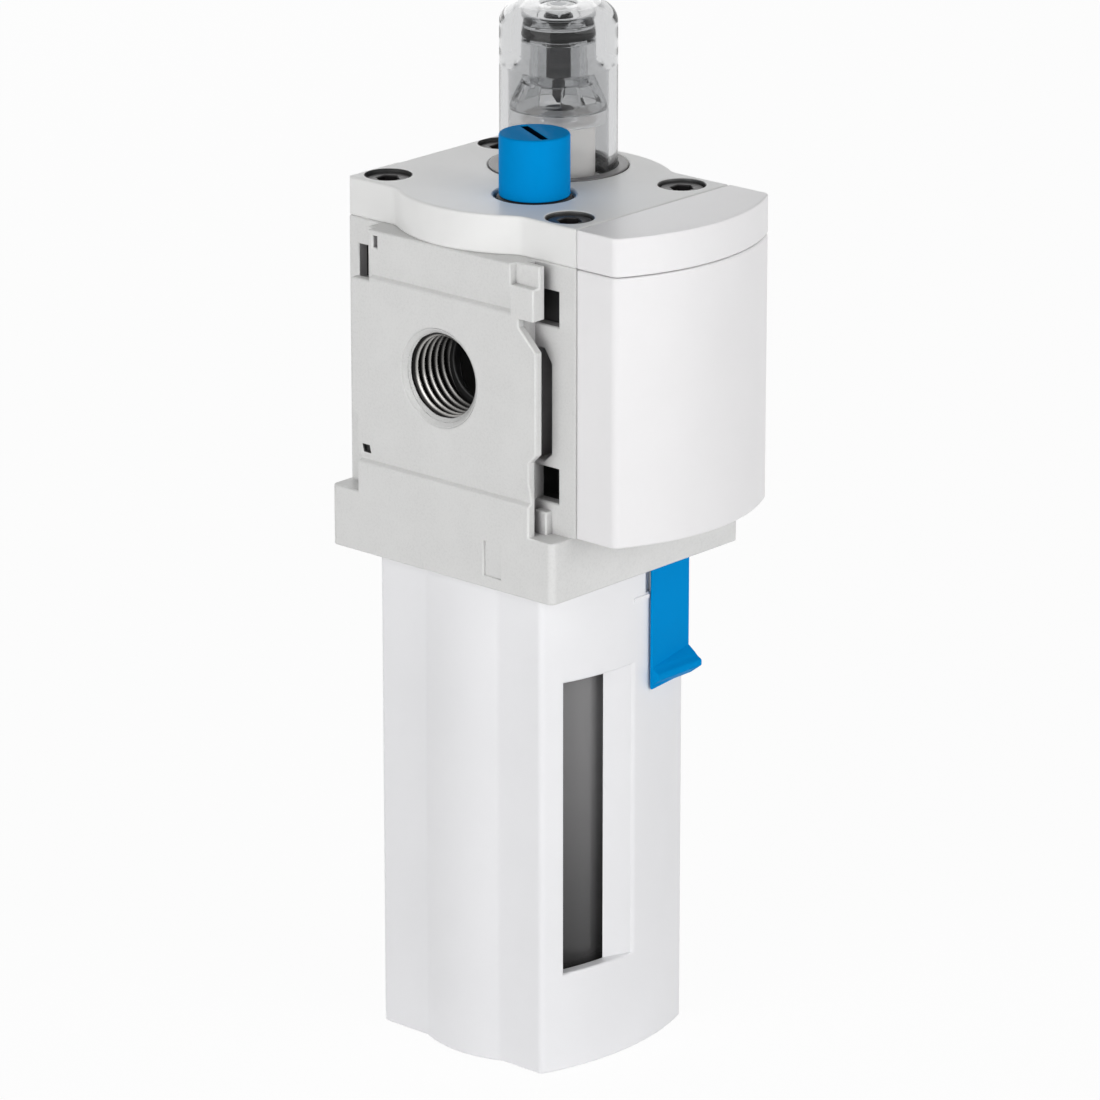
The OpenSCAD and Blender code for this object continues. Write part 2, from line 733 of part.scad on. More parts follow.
module bowl_guard() {
    color([0.9, 0.9, 0.91]) difference() {
        union() {
            linear_extrude(guard_h) guard_outline(0);
            translate([0, 0, guard_h - eps]) cylinder(h = neck_h + eps, r = neck_r);
            for (k = [0 : 3]) ring_sector(90 * k, lug_angle, neck_r - 1, lug_r, lug_z0, lug_h);
            translate([slide_x0 - bead_l - 0.3, -guard_front - 0.2, guard_h - notch_h - 0.7])
                cube([bead_l, 1, 0.6]);
        }
        translate([0, 0, guard_floor]) cylinder(h = guard_h + neck_h, r = guard_bore_r);
        difference() {
            translate([0, 0, guard_floor]) linear_extrude(guard_h - guard_floor - guard_wall)
                guard_outline(guard_wall);
            translate([foot_x0 - guard_wall, -far, boss_z0]) cube([far, far - 11, far]);
        }
        window_cut();
        latch_room();
        translate([slide_x0 - 0.5, -guard_front - 1, guard_h - notch_h])
            cube([1.3, 1 + notch_depth, notch_h + eps]);
    }
}

module bowl() {
    color([0.75, 0.77, 0.8, 0.4]) rotate_extrude() difference() {
        union() {
            cup_half(bowl_r, bowl_z0, flange_z0 + eps, bowl_corner_r);
            translate([0, flange_z0]) square([flange_r, flange_h]);
            translate([0, flange_z1 - eps]) square([bowl_neck_r, bowl_neck_h + eps]);
        }
        cup_half(bowl_inner_r, bowl_z0 + bowl_wall, flange_z0 - 1, bowl_corner_r - bowl_wall);
        polygon([
            [0, flange_z0 - 1 - eps],
            [bowl_inner_r, flange_z0 - 1 - eps],
            [bowl_inner_r, flange_z0 - 1],
            [bowl_throat_r, flange_z1 - 1],
            [bowl_throat_r, bowl_z1 + eps],
            [0, bowl_z1 + eps]
        ]);
        translate([seal_groove_r, seal_z - seal_wire_r - 0.1])
            square([seal_wire_r * 2 + 1, seal_wire_r * 2 + 0.2]);
        translate([-far, -eps]) square([far, 2 * far]);
    }
}

module bowl_seal() {
    color([0.08, 0.08, 0.08]) seal_ring(0, 0, seal_z, seal_ring_r, seal_wire_r);
}

// Thumb ledge seen from the side, from its root line on the slide's back
module ledge_outline() {
    difference() {
        polygon([
            [-slide_right_y + 1, slide_z0 + 4.4],
            [-slide_right_y, slide_z0 + 4.2],
            [-slide_tip_y, slide_z0 + 2.4],
            [-slide_tip_y, slide_z0 + 1.6],
            [-slide_right_y - 0.4, slide_z0],
            [-slide_right_y + 1, slide_z0]
        ]);
        translate([-slide_tip_y - 0.4, slide_z0 + 4.6]) circle(r = 2.1);
    }
}

module release_slide() {
    bow_y = -guard_front + guard_bow_r;
    color([0, 0.5, 0.78]) {
        difference() {
            union() {
                translate([0, 0, slide_z0]) linear_extrude(slide_h) polygon([
                    [slide_x0, -slide_left_y],
                    [slide_x1, -slide_right_y],
                    [slide_x1, -slide_right_y + 3],
                    [slide_x0, -slide_right_y + 3]
                ]);
                translate([slide_x0, 0, 0]) rotate([90, 0, 90]) linear_extrude(slide_w) ledge_outline();
            }
            translate([0, bow_y, 0]) cylinder(h = 2 * far, r = guard_bow_r + run_gap, $fn = 360);
        }
        translate([rib_x0, -slide_right_y + 0.2, rib_z0])
            cube([rib_w, slide_right_y - 0.2 + foot_y0 + eps, slide_z1 - rib_z0]);
        translate([foot_x0, foot_y0, rib_z0]) cube([foot_w, foot_t, slide_z1 - rib_z0]);
    }
}

module slide_spring() {
    turns = 7;
    steps = 14;
    low_z = spring_z0 + spring_wire_r;
    rise = spring_h - 2 * spring_wire_r;
    path = [
        for (i = [0 : turns * steps])
            [
                spring_x + (spring_r - spring_wire_r) * cos(360 * i / steps),
                spring_y + (spring_r - spring_wire_r) * sin(360 * i / steps),
                low_z + rise * i / (turns * steps)
            ]
    ];
    color([0.7, 0.7, 0.72]) wire(path, [0, 0, 1], spring_wire_r);
}

module filler_plug() {
    slot_w = 1.2;
    color([0, 0.53, 0.81]) translate([plug_x, plug_y, 0]) difference() {
        union() {
            translate([0, 0, plug_head_z]) cylinder(h = plug_z1 - plug_head_z - 0.5, r = plug_r);
            translate([0, 0, plug_z1 - 0.5]) cylinder(h = 0.5, r1 = plug_r, r2 = plug_r - 0.5);
            translate([0, 0, cap_z0 + 0.4]) cylinder(h = plug_head_z - cap_z0, r = plug_stem_r);
        }
        rotate([0, 0, plug_slot_turn]) translate([-slot_w / 2, -plug_r - 1, plug_z1 - 1.8])
            cube([slot_w, 2 * plug_r + 2, 2]);
    }
}

module filler_seal() {
    color([0.08, 0.08, 0.08])
        seal_ring(plug_x, plug_y, plug_recess_z + plug_seal_wire_r, plug_seal_r, plug_seal_wire_r);
}

// Outer half section of the sight dome
module dome_half() {
    top_r = dome_r - dome_shoulder_r;
    square_z = dome_z1 - dome_shoulder_r;
    translate([0, dome_recess_z]) square([dome_spigot_r, 1 + eps]);
    translate([0, dome_flange_z0]) square([dome_flange_r, dome_flange_z1 - dome_flange_z0]);
    translate([0, dome_flange_z0]) square([dome_r, square_z - dome_flange_z0]);
    translate([0, dome_flange_z0]) square([top_r, dome_z1 - dome_flange_z0]);
    translate([top_r, square_z]) circle(r = dome_shoulder_r);
}

module sight_dome() {
    color([0.85, 0.88, 0.9, 0.35]) translate([dome_x, dome_y, 0]) rotate_extrude() difference() {
        dome_half();
        polygon([
            [0, dome_recess_z - eps],
            [dome_bore_r, dome_recess_z - eps],
            [dome_bore_r, land_z0 - 3.9],
            [land_bore_r, land_z0 - 2],
            [land_bore_r, land_ceiling_z],
            [adjuster_r + 0.1, land_ceiling_z],
            [adjuster_r + 0.1, dome_z1 + eps],
            [0, dome_z1 + eps]
        ]);
    }
}

module dome_seal() {
    color([0.08, 0.08, 0.08])
        seal_ring(dome_x, dome_y, dome_recess_z + dome_seal_wire_r,
            dome_spigot_r + dome_seal_wire_r + fit_gap, dome_seal_wire_r);
}

module dome_ring() {
    color([0.3, 0.3, 0.31]) translate([dome_x, dome_y, dome_flange_z1]) difference() {
        cylinder(h = cap_z1 - dome_flange_z1 + 0.15, r = dome_ring_r);
        translate([0, 0, -eps]) cylinder(h = 3, r = dome_r + 0.1);
    }
}

module drip_adjuster() {
    groove_h = 2 * adjuster_seal_wire_r + 0.1;
    socket_w = 2.2;
    color([0.88, 0.9, 0.92, 0.4]) translate([dome_x, dome_y, 0]) difference() {
        rotate_extrude() difference() {
            union() {
                translate([0, land_z0]) square([adjuster_land_r, land_h]);
                translate([0, land_z0]) square([adjuster_r, adjuster_z1 - land_z0]);
                translate([0, adjuster_z0]) square([adjuster_skirt_r, land_z0 - adjuster_z0 + eps]);
            }
            translate([adjuster_seal_r - adjuster_seal_wire_r - fit_gap, adjuster_seal_z - groove_h / 2])
                square([3, groove_h]);
            translate([0, adjuster_z0 - eps]) square([adjuster_skirt_r - 1.1, land_z0 - adjuster_z0 - 0.5]);
            translate([0, adjuster_z0 - eps]) square([needle_r, needle_z1 - adjuster_z0 + eps]);
        }
        translate([-socket_w / 2, -socket_w / 2, adjuster_z1 - 2]) cube([socket_w, socket_w, 3]);
    }
}

module metering_needle() {
    shoulder_z = dome_z1 - 10.2;
    tip_z = seat_disc_z1 + 0.5;
    color([0.36, 0.36, 0.37]) translate([dome_x, dome_y, 0]) rotate_extrude() polygon([
        [0, tip_z],
        [0.3, tip_z],
        [needle_r * 0.53, tip_z + 1],
        [needle_r * 0.53, shoulder_z - 0.6],
        [needle_r, shoulder_z],
        [needle_r, needle_z1],
        [0, needle_z1]
    ]);
}

module adjuster_seal() {
    color([0.06, 0.06, 0.06])
        seal_ring(dome_x, dome_y, adjuster_seal_z, adjuster_seal_r, adjuster_seal_wire_r);
}

// Conical skirt with windows between its ribs
module drip_funnel() {
    skirt_t = 0.8;
    foot_r = seat_disc_r;
    ribs = 6;
    color([0.85, 0.88, 0.9, 0.5]) translate([dome_x, dome_y, 0]) difference() {
        rotate_extrude() polygon([
            [foot_r - skirt_t, seat_disc_z1],
            [foot_r, seat_disc_z1],
            [foot_r, seat_disc_z1 + 0.7],
            [funnel_top_r + skirt_t, funnel_z1 - 0.6],
            [funnel_top_r + skirt_t, funnel_z1],
            [funnel_top_r, funnel_z1],
            [funnel_top_r, funnel_z1 - 0.8],
            [foot_r - skirt_t, seat_disc_z1 + 0.6]
        ]);
        for (k = [0 : ribs - 1]) rotate([0, 0, 360 * (k + 0.5) / ribs])
            translate([0, -1.5, seat_disc_z1 + 1.3]) cube([10, 3, funnel_z1 - seat_disc_z1 - 2.6]);
    }
}

module drip_seat() {
    color([0.3, 0.3, 0.31]) translate([dome_x, dome_y, 0]) rotate_extrude() polygon([
        [drip_bore_r, seat_disc_z0],
        [seat_disc_r, seat_disc_z0],
        [seat_disc_r, seat_disc_z1],
        [3.2, seat_disc_z1],
        [drip_bore_r, seat_disc_z1 - 0.8]
    ]);
}

module drip_tube() {
    color([0.9, 0.9, 0.88]) translate([dome_x, dome_y, 0]) rotate_extrude() difference() {
        union() {
            translate([0, dome_recess_z]) square([stem_r, seat_disc_z0 - dome_recess_z]);
            translate([0, drip_z0]) square([drip_r, dome_recess_z - drip_z0 + eps]);
        }
        translate([0, drip_z0 - eps]) square([drip_bore_r, far]);
        translate([0, seat_disc_z0 - 1.5])
            polygon([[0, 0], [drip_bore_r, 0], [2.6, 1.5 + eps], [0, 1.5 + eps]]);
    }
}

module siphon_tube() {
    color([0.85, 0.85, 0.83]) translate([riser_x, riser_y, siphon_z0 + 1]) difference() {
        cylinder(h = socket_z - siphon_z0 - 1, r = siphon_r);
        translate([0, 0, -eps]) cylinder(h = socket_z - siphon_z0, r = siphon_r - 0.6);
    }
}

module siphon_filter() {
    color([0.72, 0.6, 0.42]) translate([riser_x, riser_y, 0]) rotate_extrude() difference() {
        union() {
            translate([0, siphon_z0]) square([filter_r, filter_h - 1]);
            translate([0, siphon_z0]) square([filter_r - 0.8, filter_h]);
        }
        translate([-eps, siphon_z0 + 1]) square([siphon_r + eps, filter_h]);
        translate([-far, 0]) square([far, far]);
    }
}

module riser_fitting() {
    color([0.8, 0.8, 0.78]) translate([riser_x, riser_y, 0]) rotate_extrude() polygon([
        [siphon_r, fitting_z0],
        [fitting_r, fitting_z0],
        [fitting_r, ceiling_z],
        [fitting_stem_r, ceiling_z],
        [fitting_stem_r, insert_z0],
        [valve_r, insert_z0],
        [valve_r, valve_z0 + valve_r - throat_r],
        [throat_r, valve_z0],
        [throat_r, socket_z],
        [siphon_r, socket_z]
    ]);
}

module check_ball() {
    color([0.7, 0.7, 0.72]) translate([riser_x, riser_y, ball_z]) sphere(r = ball_r, $fn = 48);
}

module flow_insert() {
    color([0.78, 0.78, 0.76]) difference() {
        translate([0, 0, insert_z0]) cylinder(h = insert_z1 - insert_z0, r = insert_r);
        translate([-insert_r - 1, 0, port_z]) rotate([0, 90, 0]) cylinder(h = insert_r + 2, r = channel_r);
        translate([chamber_x0, -chamber_half, chamber_z0])
            cube([insert_r + 2, 2 * chamber_half, chamber_z1 - chamber_z0]);
        translate([riser_x, riser_y, insert_z0 - eps])
            cylinder(h = insert_z1 - insert_z0 + 2 * eps, r = riser_r);
        translate([fill_x, fill_y, insert_z0 - eps])
            cylinder(h = insert_z1 - insert_z0 + 2 * eps, r = fill_r);
        translate([dome_x, dome_y, chamber_z1 - 1]) cylinder(h = far, r = drip_r + fit_gap);
        translate([pin_x, -pin_half - 0.1, pin_z]) rotate([-90, 0, 0])
            cylinder(h = pin_half + insert_r + 1, r = pin_r + 0.02);
    }
}

module bypass_flap() {
    knuckle_l = 2 * flap_half - flap_spring_room;
    color([0.55, 0.56, 0.58]) difference() {
        union() {
            translate([chamber_x0, 0, 0]) rotate([90, 0, 90]) linear_extrude(flap_t) {
                translate([0, port_z]) circle(r = flap_half);
                translate([-flap_half, port_z]) square([2 * flap_half, pin_z - port_z - 0.5]);
            }
            translate([pin_x, -flap_half, pin_z]) rotate([-90, 0, 0]) cylinder(h = knuckle_l, r = knuckle_r);
            translate([chamber_x0, -flap_half, pin_z - 1.5]) cube([pin_x - chamber_x0, knuckle_l, 1.5]);
        }
        translate([pin_x, -far / 2, pin_z]) rotate([-90, 0, 0]) cylinder(h = far, r = pin_r + fit_gap);
        translate([chamber_x0 - eps, flap_half - flap_spring_room, pin_z - knuckle_r - 0.7])
            cube([4, flap_spring_room + 1, 4]);
    }
}

module flap_pin() {
    color([0.7, 0.7, 0.72]) translate([pin_x, -pin_half, pin_z]) rotate([-90, 0, 0])
        cylinder(h = 2 * pin_half + 1, r = pin_r);
}

// Coil on the pin with one leg under the chamber's roof and one on the flap
module flap_spring() {
    turns = 3;
    steps = 14;
    wire_r = 0.15;
    coil_r = pin_r + 0.3;
    y0 = flap_half - flap_spring_room + 0.5;
    rise = 1.6;
    count = turns * steps + steps / 2;
    coil = [
        for (i = [0 : count])
            [
                pin_x + coil_r * cos(90 - 360 * i / steps),
                y0 + rise * i / count,
                pin_z + coil_r * sin(90 - 360 * i / steps)
            ]
    ];
    roof_leg = [for (k = [4 : -1 : 1]) [pin_x - k * 0.3, y0, pin_z + coil_r]];
    color([0.7, 0.7, 0.72]) wire(concat(roof_leg, coil), [0, 1, 0], wire_r);
}

housing();
top_cap();
cap_gasket();
cap_screws();
front_cover();
cover_trim();
bowl_guard();
bowl();
bowl_seal();
release_slide();
slide_spring();
filler_plug();
filler_seal();
sight_dome();
dome_seal();
dome_ring();
drip_adjuster();
metering_needle();
adjuster_seal();
drip_funnel();
drip_seat();
drip_tube();
siphon_tube();
siphon_filter();
riser_fitting();
check_ball();
flow_insert();
bypass_flap();
flap_pin();
flap_spring();
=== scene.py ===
import json
import math

import bmesh
import bpy
import numpy as np
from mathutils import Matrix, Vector

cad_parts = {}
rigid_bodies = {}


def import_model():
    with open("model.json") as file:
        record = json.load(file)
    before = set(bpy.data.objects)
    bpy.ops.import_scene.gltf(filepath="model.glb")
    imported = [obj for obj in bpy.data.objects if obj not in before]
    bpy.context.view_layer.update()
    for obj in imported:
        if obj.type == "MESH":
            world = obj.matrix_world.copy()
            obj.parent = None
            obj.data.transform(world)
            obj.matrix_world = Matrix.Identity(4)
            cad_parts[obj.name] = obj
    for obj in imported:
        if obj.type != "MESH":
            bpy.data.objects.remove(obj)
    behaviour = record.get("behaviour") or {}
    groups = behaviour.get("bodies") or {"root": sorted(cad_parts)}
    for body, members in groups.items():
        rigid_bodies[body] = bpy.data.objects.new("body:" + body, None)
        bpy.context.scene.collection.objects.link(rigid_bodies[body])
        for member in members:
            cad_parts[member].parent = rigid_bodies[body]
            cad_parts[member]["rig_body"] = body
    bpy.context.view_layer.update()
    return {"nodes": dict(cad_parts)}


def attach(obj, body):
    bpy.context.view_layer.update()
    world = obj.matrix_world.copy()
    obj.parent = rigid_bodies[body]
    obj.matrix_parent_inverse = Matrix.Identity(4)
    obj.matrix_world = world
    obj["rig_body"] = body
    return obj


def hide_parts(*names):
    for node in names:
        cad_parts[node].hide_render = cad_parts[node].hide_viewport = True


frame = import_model()
nodes = frame["nodes"]
mm = 0.001
print("frame loaded:", len(nodes), "nodes")

# light, floor and camera

view = {
    "azimuth": -48.12,
    "elevation": 18.23,
    "distance": 0.9,
    "aim": (0.82 * mm, -2.15 * mm, 72.5 * mm),
    "lens": 206.1,
}


def directionOf(azimuth, elevation):
    # unit vector from the object to a place: (sin a cos e, -cos a cos e, sin e)
    a, e = math.radians(azimuth), math.radians(elevation)
    return Vector((math.sin(a) * math.cos(e), -math.cos(a) * math.cos(e), math.sin(e)))


def makeCamera():
    cam = bpy.data.objects.new("camera", bpy.data.cameras.new("camera"))
    bpy.context.scene.collection.objects.link(cam)
    back = directionOf(view["azimuth"], view["elevation"])
    cam.location = Vector(view["aim"]) + back * view["distance"]
    cam.rotation_mode = "QUATERNION"
    cam.rotation_quaternion = (-back).to_track_quat("-Z", "Y")
    cam.data.lens = view["lens"]
    cam.data.clip_start, cam.data.clip_end = 0.01, 50
    bpy.context.scene.camera = cam


lamps = {
    "key": {"azimuth": -84, "elevation": 13, "distance": 0.9, "size": 0.7, "power": 4.8},
    "front": {"azimuth": 4, "elevation": 9, "distance": 1.0, "size": 0.8, "power": 6.6},
    "back": {"azimuth": 150, "elevation": 8, "distance": 1.0, "size": 0.8, "power": 2.6},
    "top": {"azimuth": 40, "elevation": 84, "distance": 1.0, "size": 0.7, "power": 0.05},
}


def makeLamps():
    for name, lamp in lamps.items():
        data = bpy.data.lights.new(name, "AREA")
        data.shape, data.size, data.energy = "SQUARE", lamp["size"], lamp["power"]
        obj = bpy.data.objects.new(name, data)
        bpy.context.scene.collection.objects.link(obj)
        back = directionOf(lamp["azimuth"], lamp["elevation"])
        obj.location = Vector(view["aim"]) + back * lamp["distance"]
        obj.rotation_mode = "QUATERNION"
        obj.rotation_quaternion = (-back).to_track_quat("-Z", "Y")
        obj.visible_transmission = False


# sums on the sockets of a material

class Signal:
    # a socket of a material's nodes that can be used in sums
    def __init__(self, tree, socket):
        self.tree, self.socket = tree, socket

    def node(self, kind, settings=None, inputs=None, output=0):
        made = self.tree.nodes.new(kind)
        for name, value in (settings or {}).items():
            if name == "stops":
                ramp = made.color_ramp
                while len(ramp.elements) < len(value):
                    ramp.elements.new(0.5)
                for element, (place, colour) in zip(ramp.elements, value):
                    element.position, element.color = place, colour
            else:
                setattr(made, name, value)
        for key, value in (inputs or {}).items():
            if isinstance(value, Signal):
                self.tree.links.new(value.socket, made.inputs[key])
            else:
                made.inputs[key].default_value = value
        return Signal(self.tree, made.outputs[output]) if made.outputs else None

    def maths(self, operation, first, second=0.0, third=0.0):
        return self.node("ShaderNodeMath", {"operation": operation}, {0: first, 1: second, 2: third})

    def __add__(self, other):
        return self.maths("ADD", self, other)

    def __sub__(self, other):
        return self.maths("SUBTRACT", self, other)

    def __mul__(self, other):
        return self.maths("MULTIPLY", self, other)

    def __rsub__(self, other):
        return self.maths("SUBTRACT", other, self)

    __radd__ = __add__
    __rmul__ = __mul__

    def power(self, exponent):
        return self.maths("POWER", self, exponent)

    def magnitude(self):
        return self.maths("ABSOLUTE", self)

    def between(self, low, high):
        # 0 below low, 1 above high, smooth in between
        inputs = {"Value": self, "From Min": low, "From Max": high}
        return self.node("ShaderNodeMapRange", {"interpolation_type": "SMOOTHSTEP"}, inputs)


def newMaterial(name):
    material = bpy.data.materials.new(name)
    material.use_nodes = True
    tree = material.node_tree
    tree.nodes.clear()
    place = tree.nodes.new("ShaderNodeTexCoord")
    return material, Signal(tree, place.outputs["Object"])


def finishMaterial(place, shader):
    place.node("ShaderNodeOutputMaterial", {}, {"Surface": shader})


def noise(place, size, detail=2.0, roughness=0.5):
    # size is the pattern's grain in metres
    inputs = {"Vector": place, "Scale": 1 / size, "Detail": detail, "Roughness": roughness}
    return place.node("ShaderNodeTexNoise", {}, inputs)


def mixColour(place, factor, first, second):
    made = place.node("ShaderNodeMix", {"data_type": "RGBA"}, {"Factor": factor}, 2)
    mix = made.socket.node
    for key, value in ((6, first), (7, second)):
        if isinstance(value, Signal):
            place.tree.links.new(value.socket, mix.inputs[key])
        else:
            mix.inputs[key].default_value = (*value, 1)
    return made


def openness(place, reach):
    # share of the sky that a point sees within reach: 1 in the open, towards 0 deep in a slot
    settings = {"samples": 8, "only_local": True}
    return place.node("ShaderNodeAmbientOcclusion", settings, {"Distance": reach}, 1)


def axes(place, letters="xyz"):
    # the coordinates of a place that the letters name, in metres
    return [place.node("ShaderNodeSeparateXYZ", {}, {0: place}, "xyz".index(k)) for k in letters]


def distance(a, b):
    # sqrt(a^2 + b^2)
    return (a.power(2.0) + b.power(2.0)).power(0.5)


def radiusFrom(place, x, y):
    # distance from the upright axis through (x, y), given in mm
    px, py = axes(place, "xy")
    return distance(px - x * mm, py - y * mm)


def boreRadius(place):
    # distance from the ports' common axis
    y, z = axes(place, "yz")
    return distance(y, z - portAt["height"] * mm)


def inside(value, low, high, step=0.03):
    # 1 between low and high, 0 outside, all in mm, fading over twice the step at both ends
    above = value.between((low - step) * mm, (low + step) * mm)
    return above * (1 - value.between((high - step) * mm, (high + step) * mm))


wells = {"x": 11.8, "y": 17.1, "radius": 3.4, "fade": 0.1}


def screwWellShade(place):
    # 0 within the four wells of the cap's screws, where shade is painted, 1 around them
    x, y = axes(place, "xy")
    radius = distance(x.magnitude() - wells["x"] * mm, y.magnitude() - wells["y"] * mm)
    return radius.between(wells["radius"] * mm, (wells["radius"] + wells["fade"]) * mm)


portAt = {"height": 102.3, "radius": 6.8, "depth": 11.7, "fade": 0.1}


def passageShade(place):
    # 0 in the ports' shared bore line beyond the threads, where shade is painted, 1 elsewhere
    radius, depth, fade = (portAt[key] for key in ("radius", "depth", "fade"))
    outside = boreRadius(place).between(radius * mm, (radius + 2 * fade) * mm)
    beyond = axes(place, "x")[0].magnitude().between((depth - fade) * mm, (depth + fade) * mm)
    return outside.maths("MAXIMUM", outside, beyond)


pitAt = {"x": (18.9, 19.9), "y": (13.6, 15.0), "z": (88.4, 89.7)}


def padPitShade(place):
    # 1 in the small square pits at the back end of both pads, where shade is painted, 0 elsewhere
    x, y, z = axes(place)
    return inside(x.magnitude(), *pitAt["x"]) * inside(y, *pitAt["y"]) * inside(z, *pitAt["z"])


pocketAt = {"x": (10, 14.4), "y": (14, 18.95), "low": (86.9, 92.1), "high": (112.4, 117.6)}


def pocketShade(place):
    # 1 on the floors of the square pockets beside the pads, where shade is painted, 0 elsewhere
    x, y, z = axes(place)
    level = inside(z, *pocketAt["low"]) + inside(z, *pocketAt["high"])
    return inside(x.magnitude(), *pocketAt["x"]) * inside(y.magnitude(), *pocketAt["y"]) * level


slotAt = {"axis": (-5.8, -5.2), "radius": 4.6, "z": (133.5, 135.65)}


def plugSlotShade(place):
    # 0 in the slot of the filler plug, where shade is painted, 1 elsewhere
    within = inside(radiusFrom(place, *slotAt["axis"]), -1, slotAt["radius"])
    return 1 - within * inside(axes(place, "z")[0], *slotAt["z"])


def bump(place, height, depth, strength=1.0, normal=None):
    inputs = {"Height": height, "Distance": depth, "Strength": strength}
    if normal is not None:
        inputs["Normal"] = normal
    return place.node("ShaderNodeBump", {}, inputs)


def linear(*srgb):
    # screen values 0 to 255 to light values: v / 12.92 below 0.04045, ((v + 0.055) / 1.055) ^ 2.4 above
    v = np.array(srgb) / 255
    return tuple(float(x) for x in np.where(v < 0.04045, v / 12.92, ((v + 0.055) / 1.055) ** 2.4))


def mouldedPlastic(name, colour, spread=0.03, gloss=0.42, deep=0.35, shine=0.5, outsidePaintedShade=None):
    # spark-eroded tool texture, slow flow shading, painted shade (the colour times deep) deep in slots
    # and bores, and painted shade where the mask given last is 0
    material, place = newMaterial(name)
    flow = noise(place, 0.02, 3.0)
    fine = noise(place, 0.00022, 2.0, 0.6)
    dark = tuple(c * (1 - spread) for c in colour)
    bright = tuple(min(1.0, c * (1 + spread)) for c in colour)
    tone = mixColour(place, flow.between(0.3, 0.7), dark, bright)
    # painted shade: darker where the sky is hidden within 3 mm, and wherever the mask is 0
    paintedShade = tuple(c * deep for c in colour)
    seen = openness(place, 0.003).between(0.08, 0.5)
    if outsidePaintedShade:
        seen = seen * outsidePaintedShade(place)
    inputs = {
        "Base Color": mixColour(place, seen, paintedShade, tone),
        "Roughness": gloss + (fine - 0.5) * 0.14 + (flow - 0.5) * 0.08,
        "Specular IOR Level": shine,
        "Normal": bump(place, fine, 0.000012),
    }
    finishMaterial(place, place.node("ShaderNodeBsdfPrincipled", {}, inputs))
    return material


def castMetal(name, colour, paintedShade, unlit):
    # blasted die casting: fine peening, a few broader swells, painted shade deep in grooves, and near
    # black painted shade in the pockets, pits and bore line
    material, place = newMaterial(name)
    swell = noise(place, 0.006, 2.0)
    grit = noise(place, 0.00035, 3.0, 0.65)
    specks = noise(place, 0.0011, 1.0)
    dark = tuple(c * 0.93 for c in colour)
    tone = mixColour(place, grit.between(0.25, 0.6), dark, colour)
    pale = tuple(min(1.0, c * 1.07) for c in colour)
    tone = mixColour(place, swell.between(0.35, 0.75) * 0.35, tone, pale)
    # painted shade in grooves, where the sky is hidden within 6 mm
    tone = mixColour(place, openness(place, 0.006).between(0.12, 0.5), paintedShade, tone)
    # painted shade: the pockets, the pad pits and the bore line beyond the threads are painted near
    # black
    outsidePaintedDark = passageShade(place) * (1 - padPitShade(place)) * (1 - pocketShade(place))
    inputs = {
        "Base Color": mixColour(place, outsidePaintedDark, unlit, tone),
        "Metallic": 0.08,
        "Roughness": 0.5 + (grit - 0.5) * 0.2,
        "Normal": bump(place, specks, 0.00002, 0.6, bump(place, grit, 0.00003, 0.8)),
    }
    finishMaterial(place, place.node("ShaderNodeBsdfPrincipled", {}, inputs))
    return material


def metal(name, colour, gloss=0.3, brushed=0.0002, metallic=1.0):
    material, place = newMaterial(name)
    turned = noise(place, brushed, 2.0)
    tint = mixColour(place, turned.between(0.3, 0.7), tuple(c * 0.8 for c in colour), colour)
    inputs = {
        "Base Color": tint,
        "Metallic": metallic,
        "Roughness": gloss + (turned - 0.5) * 0.15,
        "Normal": bump(place, turned, 0.000006),
    }
    finishMaterial(place, place.node("ShaderNodeBsdfPrincipled", {}, inputs))
    return material


def clearPlastic(name, tint, gloss, index):
    material, place = newMaterial(name)
    haze = noise(place, 0.004, 2.0)
    inputs = {
        "Base Color": (*tint, 1),
        "Roughness": gloss + haze * 0.03,
        "IOR": index,
        "Transmission Weight": 1.0,
        "Normal": bump(place, haze, 0.00002, 0.3),
    }
    finishMaterial(place, place.node("ShaderNodeBsdfPrincipled", {}, inputs))
    return material


def smokedBowl(name, low, high):
    # smoked clear plastic, darker towards the foot
    material, place = newMaterial(name)
    haze = noise(place, 0.004, 2.0)
    rise = axes(place, "z")[0].between(0.008, 0.058)
    inputs = {
        "Base Color": mixColour(place, rise, low, high),
        "Roughness": 0.06 + haze * 0.03,
        "IOR": 1.3,
        "Transmission Weight": 0.5,
        "Normal": bump(place, haze, 0.00002, 0.3),
    }
    finishMaterial(place, place.node("ShaderNodeBsdfPrincipled", {}, inputs))
    return material


def rubber(name, dark, pale):
    material, place = newMaterial(name)
    dust = noise(place, 0.0005, 2.0)
    inputs = {
        "Base Color": mixColour(place, dust.between(0.4, 0.8), dark, pale),
        "Roughness": 0.5 + dust * 0.2,
        "Specular IOR Level": 0.3,
        "Normal": bump(place, dust, 0.00001),
    }
    finishMaterial(place, place.node("ShaderNodeBsdfPrincipled", {}, inputs))
    return material


signal = {"colour": linear(0, 138, 208), "spread": 0.05, "gloss": 0.46, "shine": 0.01}
natural = {"colour": linear(226, 223, 218), "gloss": 0.3}

